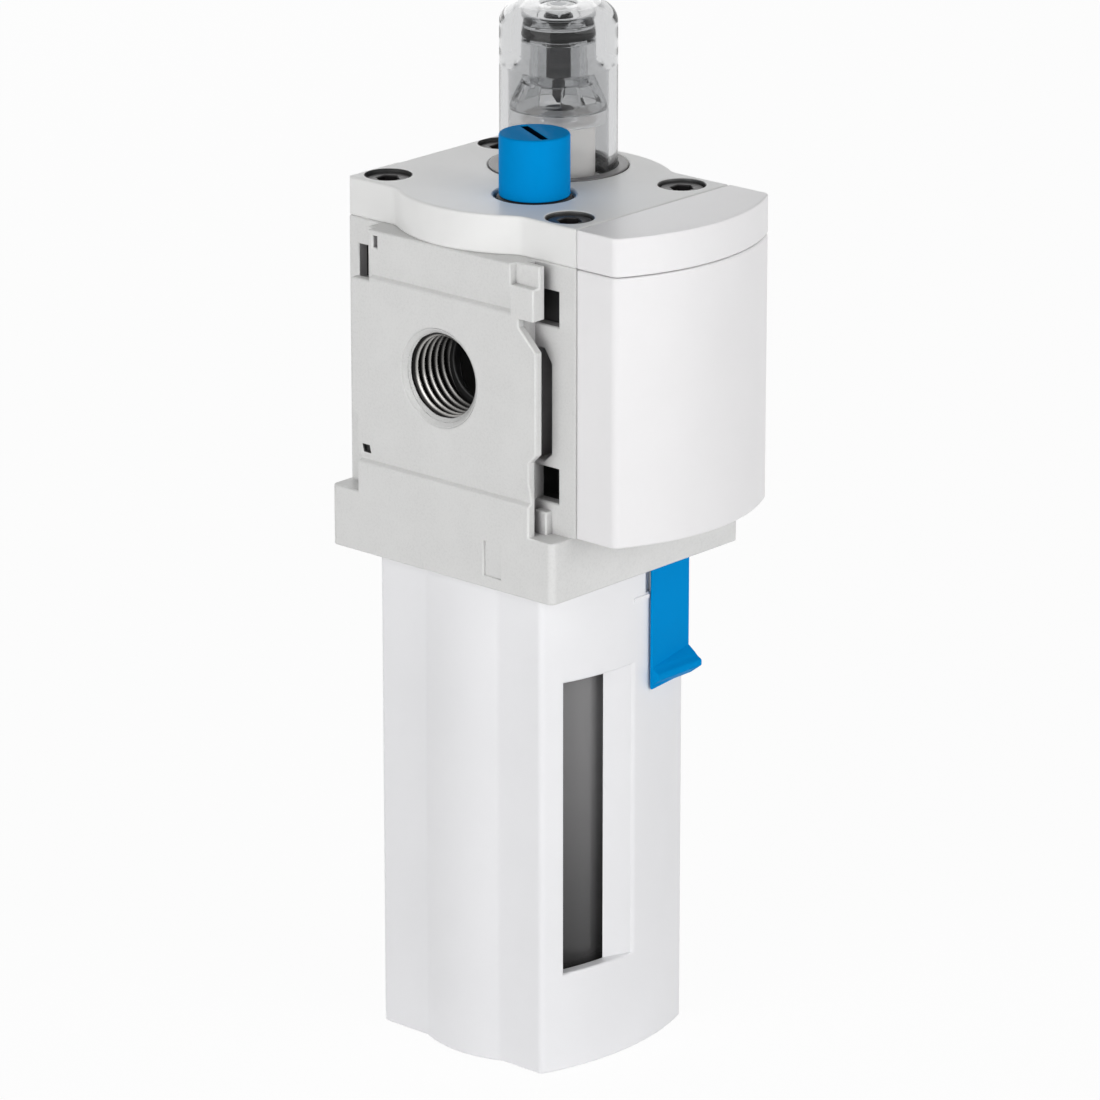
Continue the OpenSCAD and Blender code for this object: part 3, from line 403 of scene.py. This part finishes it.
finishes = {
    "housing": castMetal(
        "castGrey", linear(216, 216, 215), linear(150, 148, 150), (0.012, 0.012, 0.012)
    ),
    # deep sets how dark the painted shade in slots and bores is; the cap's screw wells, the plug's slot
    # and the insert's bore line take painted shade through their masks
    "cap": mouldedPlastic("capGrey", linear(232, 232, 231), deep=0.05, outsidePaintedShade=screwWellShade),
    "cover": mouldedPlastic("coverWhite", linear(234, 233, 234), 0.012, 0.36, 0.9),
    "guard": mouldedPlastic("guardWhite", linear(235, 235, 237), 0.012, 0.36),
    "blue": mouldedPlastic("signalBlue", **signal, deep=0.08),
    "plug": mouldedPlastic("plugBlue", **signal, deep=0.03, outsidePaintedShade=plugSlotShade),
    "dark": mouldedPlastic("anthracite", linear(62, 61, 62), 0.05, deep=0.6, shine=0.3),
    "ring": mouldedPlastic("ringGrey", linear(104, 102, 102), 0.06, deep=0.6),
    "pale": mouldedPlastic("naturalWhite", **natural, deep=0.7),
    "insert": mouldedPlastic("insertWhite", **natural, deep=0.02, outsidePaintedShade=passageShade),
    "tube": mouldedPlastic("tubeWhite", linear(246, 243, 240), gloss=0.3, deep=0.7),
    "rubber": rubber("nitrileBlack", (0.006, 0.006, 0.006), (0.014, 0.014, 0.014)),
    "screw": metal("blackenedSteel", linear(40, 38, 39), 0.4, metallic=0.6),
    "steel": metal("brightSteel", linear(190, 190, 192), 0.25),
    "bronze": metal("sinteredBronze", linear(170, 140, 95), 0.5, 0.0004),
    "dome": clearPlastic("domeClear", (0.63, 0.635, 0.64), 0.02, 1.25),
    "drip": clearPlastic("dripClear", (0.8, 0.805, 0.81), 0.02, 1.2),
    "bowl": smokedBowl("bowlSmoked", (0.12, 0.118, 0.12), (0.46, 0.455, 0.46)),
}

finishOf = {
    "housing": "housing", "top_cap": "cap", "cap_gasket": "rubber", "cap_screws": "screw",
    "front_cover": "cover", "cover_trim": "cover", "bowl_guard": "guard", "bowl": "bowl",
    "bowl_seal": "rubber", "release_slide": "blue", "slide_spring": "steel", "filler_plug": "blue",
    "filler_seal": "rubber", "sight_dome": "dome", "dome_seal": "rubber", "dome_ring": "dark",
    "drip_adjuster": "drip", "metering_needle": "dark", "adjuster_seal": "rubber",
    "drip_funnel": "drip", "drip_seat": "dark", "drip_tube": "pale", "siphon_tube": "pale",
    "siphon_filter": "bronze", "riser_fitting": "pale", "check_ball": "steel", "flow_insert": "insert",
    "bypass_flap": "steel", "flap_pin": "steel", "flap_spring": "steel",
}


def paint(obj, finish):
    obj.data.materials.clear()
    obj.data.materials.append(finishes[finish])


for nodeName, obj in nodes.items():
    paint(obj, finishOf[nodeName])
print("materials made:", len(finishes))

# floor and backdrop

ground = {"reach": 6.0, "level": -0.0002, "shadow": 0.05}
white = (1, 1, 1, 1)


def seenRays(place):
    # 1 for what the camera sees straight, in a gloss or through clear plastic, 0 for light on surfaces
    kinds = ("Is Camera Ray", "Is Glossy Ray", "Is Transmission Ray")
    seen, glossy, through = (place.node("ShaderNodeLightPath", {}, {}, kind) for kind in kinds)
    return seen + glossy + through


def makeFloor():
    corners = np.array([(-1, -1, 0), (1, -1, 0), (1, 1, 0), (-1, 1, 0)]) * ground["reach"]
    corners[:, 2] = ground["level"]
    mesh = bpy.data.meshes.new("floor")
    mesh.from_pydata(corners.tolist(), [], [(0, 1, 2, 3)])
    floor = bpy.data.objects.new("floor", mesh)
    bpy.context.scene.collection.objects.link(floor)
    material, place = newMaterial("paleFloor")
    diffuse = place.node("ShaderNodeBsdfDiffuse", {}, {"Color": white})
    glow = place.node("ShaderNodeEmission", {}, {"Color": white, "Strength": 1.0})
    factor = seenRays(place) * (1 - ground["shadow"])
    finishMaterial(place, place.node("ShaderNodeMixShader", {}, {0: factor, 1: diffuse, 2: glow}))
    mesh.materials.append(material)


surround = {"light": 0.22, "seen": 1.0}


def makeWorld():
    world = bpy.data.worlds.new("studio")
    world.use_nodes = True
    bpy.context.scene.world = world
    tree = world.node_tree
    tree.nodes.clear()
    start = Signal(tree, tree.nodes.new("ShaderNodeTexCoord").outputs["Generated"])
    light, plain = (
        start.node("ShaderNodeBackground", {}, {"Color": white, "Strength": surround[kind]})
        for kind in ("light", "seen")
    )
    mixed = start.node("ShaderNodeMixShader", {}, {0: seenRays(start), 1: light, 2: plain})
    start.node("ShaderNodeOutputWorld", {}, {"Surface": mixed})


makeCamera()
makeLamps()
makeWorld()
makeFloor()
print("studio made")

# pieces of the scene and the bodies that carry them


def bodyOf(nodeName):
    return nodes[nodeName]["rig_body"]


def standFor(piece, nodeName, finish):
    # the piece takes the node's place and its body; clear plastic lets light in
    paint(piece, finish)
    piece.visible_shadow = finish not in ("dome", "drip", "seat")
    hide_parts(nodeName)
    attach(piece, bodyOf(nodeName))


def smoothTo(work, sharp):
    # smooth shading over every edge that turns by less than sharp degrees
    for face in work.faces:
        face.smooth = True
    for edge in work.edges:
        edge.smooth = len(edge.link_faces) != 2 or edge.calc_face_angle() < math.radians(sharp)


def gridMesh(name, points, sharp=30):
    # points[i, j] is a closed grid in both directions: faces join neighbours and wrap at the ends
    rows, columns = points.shape[:2]
    index = np.arange(rows * columns).reshape(rows, columns)
    right, up = np.roll(index, -1, 1), np.roll(index, -1, 0)
    faces = np.stack([index, right, np.roll(right, -1, 0), up], -1).reshape(-1, 4)
    mesh = bpy.data.meshes.new(name)
    mesh.from_pydata((points.reshape(-1, 3) * mm).tolist(), [], faces.tolist())
    work = bmesh.new()
    work.from_mesh(mesh)
    bmesh.ops.remove_doubles(work, verts=work.verts, dist=1e-7)
    bmesh.ops.dissolve_degenerate(work, dist=1e-7, edges=work.edges)
    bmesh.ops.recalc_face_normals(work, faces=work.faces)
    smoothTo(work, sharp)
    work.to_mesh(mesh)
    work.free()
    piece = bpy.data.objects.new(name, mesh)
    bpy.context.scene.collection.objects.link(piece)
    return piece


def arcCorners(corners, steps=6):
    # corners is rows of (r, z, fillet radius) round a closed section. Each corner C turns from A to B,
    # which lie radius * tan(turn / 2) before and after it, along the weighted curve
    # ((1 - s)^2 A + 2 w s (1 - s) C + s^2 B) / ((1 - s)^2 + 2 w s (1 - s) + s^2),
    # which is an arc for w = cos(turn / 2)
    corners = np.array(corners, float)
    c, radius = corners[:, :2], corners[:, 2]
    before, after = np.roll(c, 1, 0) - c, np.roll(c, -1, 0) - c
    lengths = np.linalg.norm(before, axis=1), np.linalg.norm(after, axis=1)
    before, after = before / lengths[0][:, None], after / lengths[1][:, None]
    half = (np.pi - np.arccos(np.clip((before * after).sum(1), -1, 1))) / 2
    reach = np.minimum(radius * np.tan(half), 0.49 * np.minimum(*lengths))
    a, b = c + before * reach[:, None], c + after * reach[:, None]
    s = np.linspace(0, 1, steps)[None, :, None]
    w = np.cos(half)[:, None, None]
    top = (1 - s) ** 2 * a[:, None] + 2 * w * s * (1 - s) * c[:, None] + s ** 2 * b[:, None]
    return (top / ((1 - s) ** 2 + 2 * w * s * (1 - s) + s ** 2)).reshape(-1, 2)


def turned(name, axis, corners, around=96, steps=6):
    # a section point at radius r and height z goes round the axis: (x + r cos a, y + r sin a, z)
    section = arcCorners(corners, steps)
    section[:, 0] = np.maximum(section[:, 0], 0)
    a = np.linspace(0, 2 * np.pi, around, endpoint=False)[None, :]
    r, z = section[:, :1], section[:, 1:]
    points = np.stack([axis[0] + r * np.cos(a), axis[1] + r * np.sin(a), z + 0 * a], -1)
    return gridMesh(name, points)


# sight dome and drip head, all turned round one upright axis

dripAxis = (8.6, 3.2)
capTop, domeTop = 127.0, 150.5

domeShape = {
    "wall": 8.4, "bore": 7.1, "spigot": 7.75, "flange": 9.6, "land": 5.3, "hole": 2.7,
    "shoulder": 3.0, "inner": 0.5, "edge": 0.15, "join": 0.05,
    "sink": 2.4, "flangeLow": 1, "flangeHigh": 1.9, "holeDeep": 1.75, "landDeep": 7.2, "boreDeep": 9.1,
}


def makeDome():
    d, e = domeShape, domeShape["edge"]
    foot, top = capTop - d["sink"], domeTop
    corners = [
        (d["bore"], foot, e), (d["spigot"], foot, e), (d["spigot"], foot + d["flangeLow"], d["join"]),
        (d["flange"], foot + d["flangeLow"], e), (d["flange"], foot + d["flangeHigh"], e),
        (d["wall"], foot + d["flangeHigh"], d["join"]), (d["wall"], top, d["shoulder"]),
        (d["hole"], top, e), (d["hole"], top - d["holeDeep"], e),
        (d["land"], top - d["holeDeep"], d["inner"]), (d["land"], top - d["landDeep"], d["inner"]),
        (d["bore"], top - d["boreDeep"], d["inner"]),
    ]
    piece = turned("sight_dome_turned", dripAxis, corners, 128, 9)
    standFor(piece, "sight_dome", "dome")


adjusterShape = {
    "head": 2.6, "land": 5.2, "skirt": 4.0, "skirtWall": 1.1, "needle": 1.7, "groove": 3.7,
    "edge": 0.12, "join": 0.05, "inner": 0.3, "headInner": 0.2,
    "headDown": 0.3, "landDown": 5.2, "skirtDown": 11.5,
    "needleHigh": 0.9, "needleLow": -0.6, "grooveLow": 0.4, "grooveHigh": 2.0, "landHigh": 2.4,
    "socket": 1.1, "socketTop": 1.05, "socketDepth": 2.0, "socketEdge": 0.02,
}


def makeAdjuster():
    # the socket goes from round to square: r / max(|cos a|, |sin a|) on its part of the section
    q, e, j, i = adjusterShape, adjusterShape["edge"], adjusterShape["join"], adjusterShape["inner"]
    low, land, top = (domeTop - q[key] for key in ("skirtDown", "landDown", "headDown"))
    bore, floor = q["skirt"] - q["skirtWall"], top - q["socketDepth"]
    corners = [
        (0, land + q["needleHigh"], 0), (q["needle"], land + q["needleHigh"], j),
        (q["needle"], land + q["needleLow"], j), (bore, land + q["needleLow"], i),
        (bore, low, e), (q["skirt"], low, e), (q["skirt"], land, i), (q["land"], land, e),
        (q["land"], land + q["grooveLow"], j), (q["groove"], land + q["grooveLow"], j),
        (q["groove"], land + q["grooveHigh"], j), (q["land"], land + q["grooveHigh"], j),
        (q["land"], land + q["landHigh"], e), (q["head"], land + q["landHigh"], q["headInner"]),
        (q["head"], top, e), (q["socket"] * q["socketTop"], top, q["socketEdge"]),
        (q["socket"], floor, q["socketEdge"]), (0, floor, 0),
    ]
    section = arcCorners(corners, 5)
    a = np.linspace(0, 2 * np.pi, 96, endpoint=False)[None, :]
    r, z = section[:, :1], section[:, 1:]
    square = ((r <= q["socket"] * q["socketTop"] + 0.01) & (z > floor - 0.05)).astype(float)
    r = r * (1 - square + square / np.maximum(abs(np.cos(a)), abs(np.sin(a))))
    points = np.stack([dripAxis[0] + r * np.cos(a), dripAxis[1] + r * np.sin(a), z + 0 * a], -1)
    piece = gridMesh("drip_adjuster_turned", points)
    standFor(piece, "drip_adjuster", "drip")


needleShape = {
    "radius": 1.7, "pin": 0.901, "point": 0.3, "edge": 0.15, "join": 0.05, "taper": 0.6,
    "tipUp": 9.0, "tipLong": 1, "shoulderDown": 10.2, "topDown": 4.3,
}


def makeNeedle():
    n = needleShape
    tip, shoulder, top = capTop + n["tipUp"], domeTop - n["shoulderDown"], domeTop - n["topDown"]
    corners = [
        (0, tip, 0), (n["point"], tip, n["join"]), (n["pin"], tip + n["tipLong"], 0.2),
        (n["pin"], shoulder - n["taper"], 0.1), (n["radius"], shoulder, n["edge"]),
        (n["radius"], top, n["join"]), (0, top, 0),
    ]
    piece = turned("metering_needle_turned", dripAxis, corners, 64, 5)
    standFor(piece, "metering_needle", "dark")


seatShape = {
    "radius": 6.9, "bore": 0.8, "edge": 0.2, "hub": 3.2, "rim": 0.1, "join": 0.05,
    "low": 6.6, "high": 8.5, "dish": 0.8,
}


def makeSeat():
    s = seatShape
    low, high = capTop + s["low"], capTop + s["high"]
    corners = [
        (s["bore"], low, s["join"]), (s["radius"], low, s["edge"]), (s["radius"], high, s["edge"]),
        (s["hub"], high, s["rim"]), (s["bore"], high - s["dish"], s["rim"]),
    ]
    standFor(turned("drip_seat_turned", dripAxis, corners), "drip_seat", "seat")


tubeShape = {
    "stem": 5.2, "drip": 1.5, "bore": 0.8, "mouth": 2.6, "edge": 0.15, "rim": 0.1, "join": 0.05,
    "low": 106.0, "sink": 2.4, "high": 6.6, "mouthDeep": 1.5,
}


def makeTube():
    t = tubeShape
    foot, top = capTop - t["sink"], capTop + t["high"]
    corners = [
        (t["bore"], t["low"], t["join"]), (t["drip"], t["low"], t["edge"]), (t["drip"], foot, t["rim"]),
        (t["stem"], foot, t["edge"]), (t["stem"], top, t["edge"]), (t["mouth"], top, t["join"]),
        (t["bore"], top - t["mouthDeep"], t["rim"]),
    ]
    standFor(turned("drip_tube_turned", dripAxis, corners), "drip_tube", "tube")


ringShape = {"outer": 9.95, "inner": 8.5, "edge": 0.12, "low": -0.5, "high": 0.15}


def makeRing():
    r, e = ringShape, ringShape["edge"]
    low, high = capTop + r["low"], capTop + r["high"]
    corners = [
        (r["inner"], low, e), (r["outer"], low, e), (r["outer"], high, e), (r["inner"], high, e)
    ]
    piece = turned("dome_ring_turned", dripAxis, corners, 128)
    standFor(piece, "dome_ring", "ring")


plugShape = {
    "stem": 3.85, "head": 5.0, "foot": 121.8, "shoulder": 126.95, "top": 135.8, "edge": 0.35,
    "slotHalf": 4.15, "slotWide": 0.6, "slotDeep": 1.7, "slotTurn": 63, "rim": 0.08, "inner": 0.2,
}


def makePlug():
    # the rows of the turned body go on over the top as slot outlines (L c(a), W c(a - 90)), where
    # c(a) = sign(cos a) |cos a|^0.2, then down the slot's wall and in to the middle of its floor
    q = plugShape
    corners = [
        (0, q["foot"], 0), (q["stem"], q["foot"], q["inner"]), (q["stem"], q["shoulder"], 0.05),
        (q["head"], q["shoulder"], q["inner"]), (q["head"], q["top"], q["edge"]), (0, q["top"], 0),
    ]
    body = arcCorners(corners, 7)[:-7]
    a = np.linspace(0, 2 * np.pi, 96, endpoint=False)[None, :]
    outline = np.stack([np.sign(w) * np.abs(w) ** 0.2 for w in (np.cos(a), np.sin(a))], -1)
    rim = np.array([q["rim"], 0, 0])[:, None, None]
    slot = outline * (np.array([q["slotHalf"], q["slotWide"]]) + rim)
    slot = np.concatenate([slot, 0 * slot[-1:]])
    depth = np.array([0, q["rim"], q["slotDeep"], q["slotDeep"]])[:, None]
    ring = np.stack([body[:, :1] * np.cos(a), body[:, :1] * np.sin(a)], -1)
    turn = math.radians(q["slotTurn"])
    spin = np.array([(math.cos(turn), math.sin(turn)), (-math.sin(turn), math.cos(turn))])
    flat = np.concatenate([ring, slot]) @ spin + np.array(slotAt["axis"])
    z = np.concatenate([body[:, 1:], q["top"] - depth]) + 0 * a
    points = np.concatenate([flat, z[..., None]], -1)
    piece = gridMesh("filler_plug_turned", points)
    standFor(piece, "filler_plug", "plug")


revealShape = {
    "low": 14.6, "high": 59.0,
    "section": [(1.02, -17.47), (-3.2, -15.88), (-0.3, -15.88), (1.9, -17.4)],
}


def makeReveal():
    # slanted cheek along the window's right side: a prism with both ends drawn in to their middle
    section = np.array(revealShape["section"])
    middle = np.repeat(section.mean(0)[None], len(section), 0)
    low, high = revealShape["low"], revealShape["high"]
    rows = [
        np.c_[flat, np.full(len(flat), z)]
        for flat, z in ((middle, low), (section, low), (section, high), (middle, high))
    ]
    piece = gridMesh("window_cheek", np.stack(rows))
    paint(piece, "guard")
    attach(piece, bodyOf("bowl_guard"))


def seatPlastic(name, tint, dark, hub):
    # clear plastic round a dark valve hub
    material, place = newMaterial(name)
    fine = noise(place, 0.0003, 2.0)
    outer = radiusFrom(place, *dripAxis).between(hub * mm, (hub + 0.1) * mm)
    normal = bump(place, fine, 0.00001)
    clear = place.node("ShaderNodeBsdfPrincipled", {}, {
        "Base Color": (*tint, 1), "Roughness": 0.1 + fine * 0.1, "IOR": 1.05,
        "Transmission Weight": 0.6, "Normal": normal,
    })
    solid = place.node("ShaderNodeBsdfPrincipled", {}, {
        "Base Color": (*dark, 1), "Roughness": 0.4 + (fine - 0.5) * 0.1, "Normal": normal,
    })
    finishMaterial(place, place.node("ShaderNodeMixShader", {}, {0: outer, 1: solid, 2: clear}))
    return material


finishes["seat"] = seatPlastic("seatPlastic", (0.93, 0.93, 0.93), linear(70, 68, 68), 2.1)

makeDome()
makeAdjuster()
makeNeedle()
makeSeat()
makeTube()
makeRing()
makePlug()
makeReveal()
print("drip head turned")

# threads of the ports

threadShape = {
    "pitch": 1.337, "crest": 5.72, "root": 6.55, "wall": 0.06, "deep": 11.5, "mouth": 19.5,
    "cone": 18.62,
}


def threadMetal(name, bright, dark, pale):
    # cut thread: bright crests, painted shade in the roots and towards the deep end, and a mouth as
    # pale as the housing
    material, place = newMaterial(name)
    t = threadShape
    # painted shade: roots darker than crests, and darker towards the deep end of the bore
    crest = 1 - boreRadius(place).between((t["crest"] + 0.02) * mm, (t["crest"] + 0.4) * mm)
    along = axes(place, "x")[0].magnitude()
    depth = along.between((t["deep"] - 3) * mm, (t["mouth"] - 1) * mm)
    cone = along.between((t["cone"] + 0.1) * mm, (t["cone"] + 0.25) * mm)
    fine = noise(place, 0.0002, 2.0)
    inputs = {
        "Base Color": mixColour(place, cone, mixColour(place, crest * depth, dark, bright), pale),
        "Metallic": 0.85 - cone * 0.77,
        "Roughness": 0.22 + fine * 0.12,
    }
    finishMaterial(place, place.node("ShaderNodeBsdfPrincipled", {}, inputs))
    return material


# the second colour is the painted shade of the thread roots and the deep end
finishes["thread"] = threadMetal(
    "cutThread", linear(190, 188, 185), linear(24, 23, 23), linear(210, 210, 209)
)


def makeThread(name, side):
    # at depth x and turn a the wall's radius is crest + (root - crest) * ridge(x / pitch - a / turn),
    # where ridge is a flat-topped triangle wave, and never less than the mouth's cone, crest + x - cone
    t = threadShape
    along = np.linspace(t["deep"], t["mouth"], 110)[:, None]
    a = np.linspace(0, 2 * np.pi, 96, endpoint=False)[None, :]
    phase = (along / t["pitch"] - a / (2 * np.pi)) % 1
    ridge = np.clip((np.abs(2 * phase - 1) - 0.5) * 1.3 + 0.5, 0, 1)
    radius = np.maximum(t["crest"] + (t["root"] - t["crest"]) * ridge, t["crest"] + along - t["cone"])
    outer = np.full_like(radius, t["root"] + t["wall"])
    r = np.concatenate([radius, outer[::-1]])
    x = np.concatenate([along, along[::-1]]) * side + 0 * a
    points = np.stack([x, r * np.cos(a), portAt["height"] + r * np.sin(a)], -1)
    piece = gridMesh(name, points, 60)
    paint(piece, "thread")
    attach(piece, bodyOf("housing"))


makeThread("inlet_thread", -1)
makeThread("outlet_thread", 1)
print("threads cut")

# rounded edges on the moulded and cast pieces

rounded = {
    "housing": {
        "width": 0.22, "segments": 2, "finish": "housing", "slot": "cast_housing", "least": 50,
        "cuts": [(0, 0.01)],
    },
    "top_cap": {
        "width": 0.3, "segments": 3, "finish": "cap", "slot": "cap_plastic",
        "cuts": [(90, 3.2), (0, -5.8), (90, -17.1), (90, 17.1)],
        "thin": [((8, 13, 126.5), (15.6, 21, 128)), ((-15.6, 13, 126.5), (-8, 21, 128))],
    },
    "front_cover": {"width": 0.3, "segments": 3, "finish": "cover", "slot": "cover_plastic"},
    "cover_trim": {"width": 0.22, "segments": 3, "finish": "cover", "slot": "trim_plastic"},
    "bowl_guard": {
        "width": 0.3, "segments": 3, "finish": "guard", "slot": "guard_plastic",
        "cuts": [(22.5, 0.01), (-67.5, 0.01)],
        "thin": [((-30, -30, 71.5), (30, 30, 90)), ((1, -18.2, 67.9), (5, -17.3, 69))],
    },
    "release_slide": {"width": 0.19, "segments": 3, "finish": "blue", "slot": "blue_plastic"},
    "drip_funnel": {"width": 0.12, "segments": 2, "finish": "drip", "slot": "dome_clear"},
    "cap_screws": {"width": 0.15, "segments": 2, "finish": "screw", "slot": "screw_steel"},
}


def clearBores(work):
    # the bore's wall steps back to let the cut thread in, and its mouth moves out along the cone
    t = threadShape
    for vertex in work.verts:
        x, y, z = vertex.co / mm
        z -= portAt["height"]
        if abs(math.hypot(y, z) - t["crest"]) < 0.03 and abs(x) > t["deep"] - 0.1:
            scale = (t["root"] + t["wall"] + 0.01) / t["crest"]
            vertex.co.y, vertex.co.z = y * scale * mm, (portAt["height"] + z * scale) * mm
            if abs(x) > t["cone"] - 0.1:
                vertex.co.x = math.copysign(t["mouth"], x) * mm


def markEdges(work, least, thin):
    # outer edges that turn by more than least degrees get rounded, except in the boxes of thin, where
    # the wall is thinner than two roundings
    weight = work.edges.layers.float.new("bevel_weight_edge")
    for edge in work.edges:
        if len(edge.link_faces) == 2 and edge.calc_face_angle_signed() > math.radians(least):
            middle = (edge.verts[0].co + edge.verts[1].co) / 2 / mm
            inside = any(all(l <= m <= h for l, m, h in zip(low, middle, high)) for low, high in thin)
            edge[weight] = 0.0 if inside else 1.0


def joinFacets(work, cuts):
    # flat facets are joined, then upright planes (turn in degrees, distance from the origin in mm)
    # part the joined faces through the middle of their holes
    bmesh.ops.dissolve_degenerate(work, dist=1e-6, edges=work.edges)
    flat = {"angle_limit": math.radians(0.05), "use_dissolve_boundaries": False, "delimit": {"SEAM"}}
    bmesh.ops.dissolve_limit(work, verts=work.verts, edges=work.edges, **flat)
    for turn, distance in cuts:
        normal = Vector((math.cos(math.radians(turn)), math.sin(math.radians(turn)), 0))
        parts = work.verts[:] + work.edges[:] + work.faces[:]
        plane = {"plane_co": normal * distance * mm, "plane_no": normal}
        made = bmesh.ops.bisect_plane(work, geom=parts, dist=1e-6, **plane)
        for part in made["geom_cut"]:
            if isinstance(part, bmesh.types.BMEdge):
                part.seam = True
    bmesh.ops.dissolve_limit(work, verts=work.verts, edges=work.edges, **flat)


def roundEdges(nodeName, width, segments, finish, slot, least=35, cuts=(), thin=(), crease=35):
    # a copy of the node with its doubles merged, its flat facets joined and its outer edges rounded
    mesh = nodes[nodeName].data.copy()
    mesh.name = nodeName + "_rounded"
    work = bmesh.new()
    work.from_mesh(mesh)
    bmesh.ops.remove_doubles(work, verts=work.verts, dist=1e-6)
    if nodeName == "housing":
        clearBores(work)
    joinFacets(work, cuts)
    markEdges(work, least, thin)
    smoothTo(work, crease)
    work.to_mesh(mesh)
    work.free()
    piece = bpy.data.objects.new(nodeName + "_rounded", mesh)
    bpy.context.scene.collection.objects.link(piece)
    bevel = piece.modifiers.new("edges", "BEVEL")
    bevel.width, bevel.segments = width * mm, segments
    bevel.limit_method = "WEIGHT"
    bevel.use_clamp_overlap = False
    bevel.miter_outer = "MITER_ARC"
    shading = piece.modifiers.new("shading", "WEIGHTED_NORMAL")
    shading.keep_sharp = True
    standFor(piece, nodeName, finish)


for nodeName, edge in rounded.items():
    roundEdges(nodeName, **edge)
print("edges rounded:", len(rounded))

bpy.context.scene.view_settings.view_transform = "Standard"
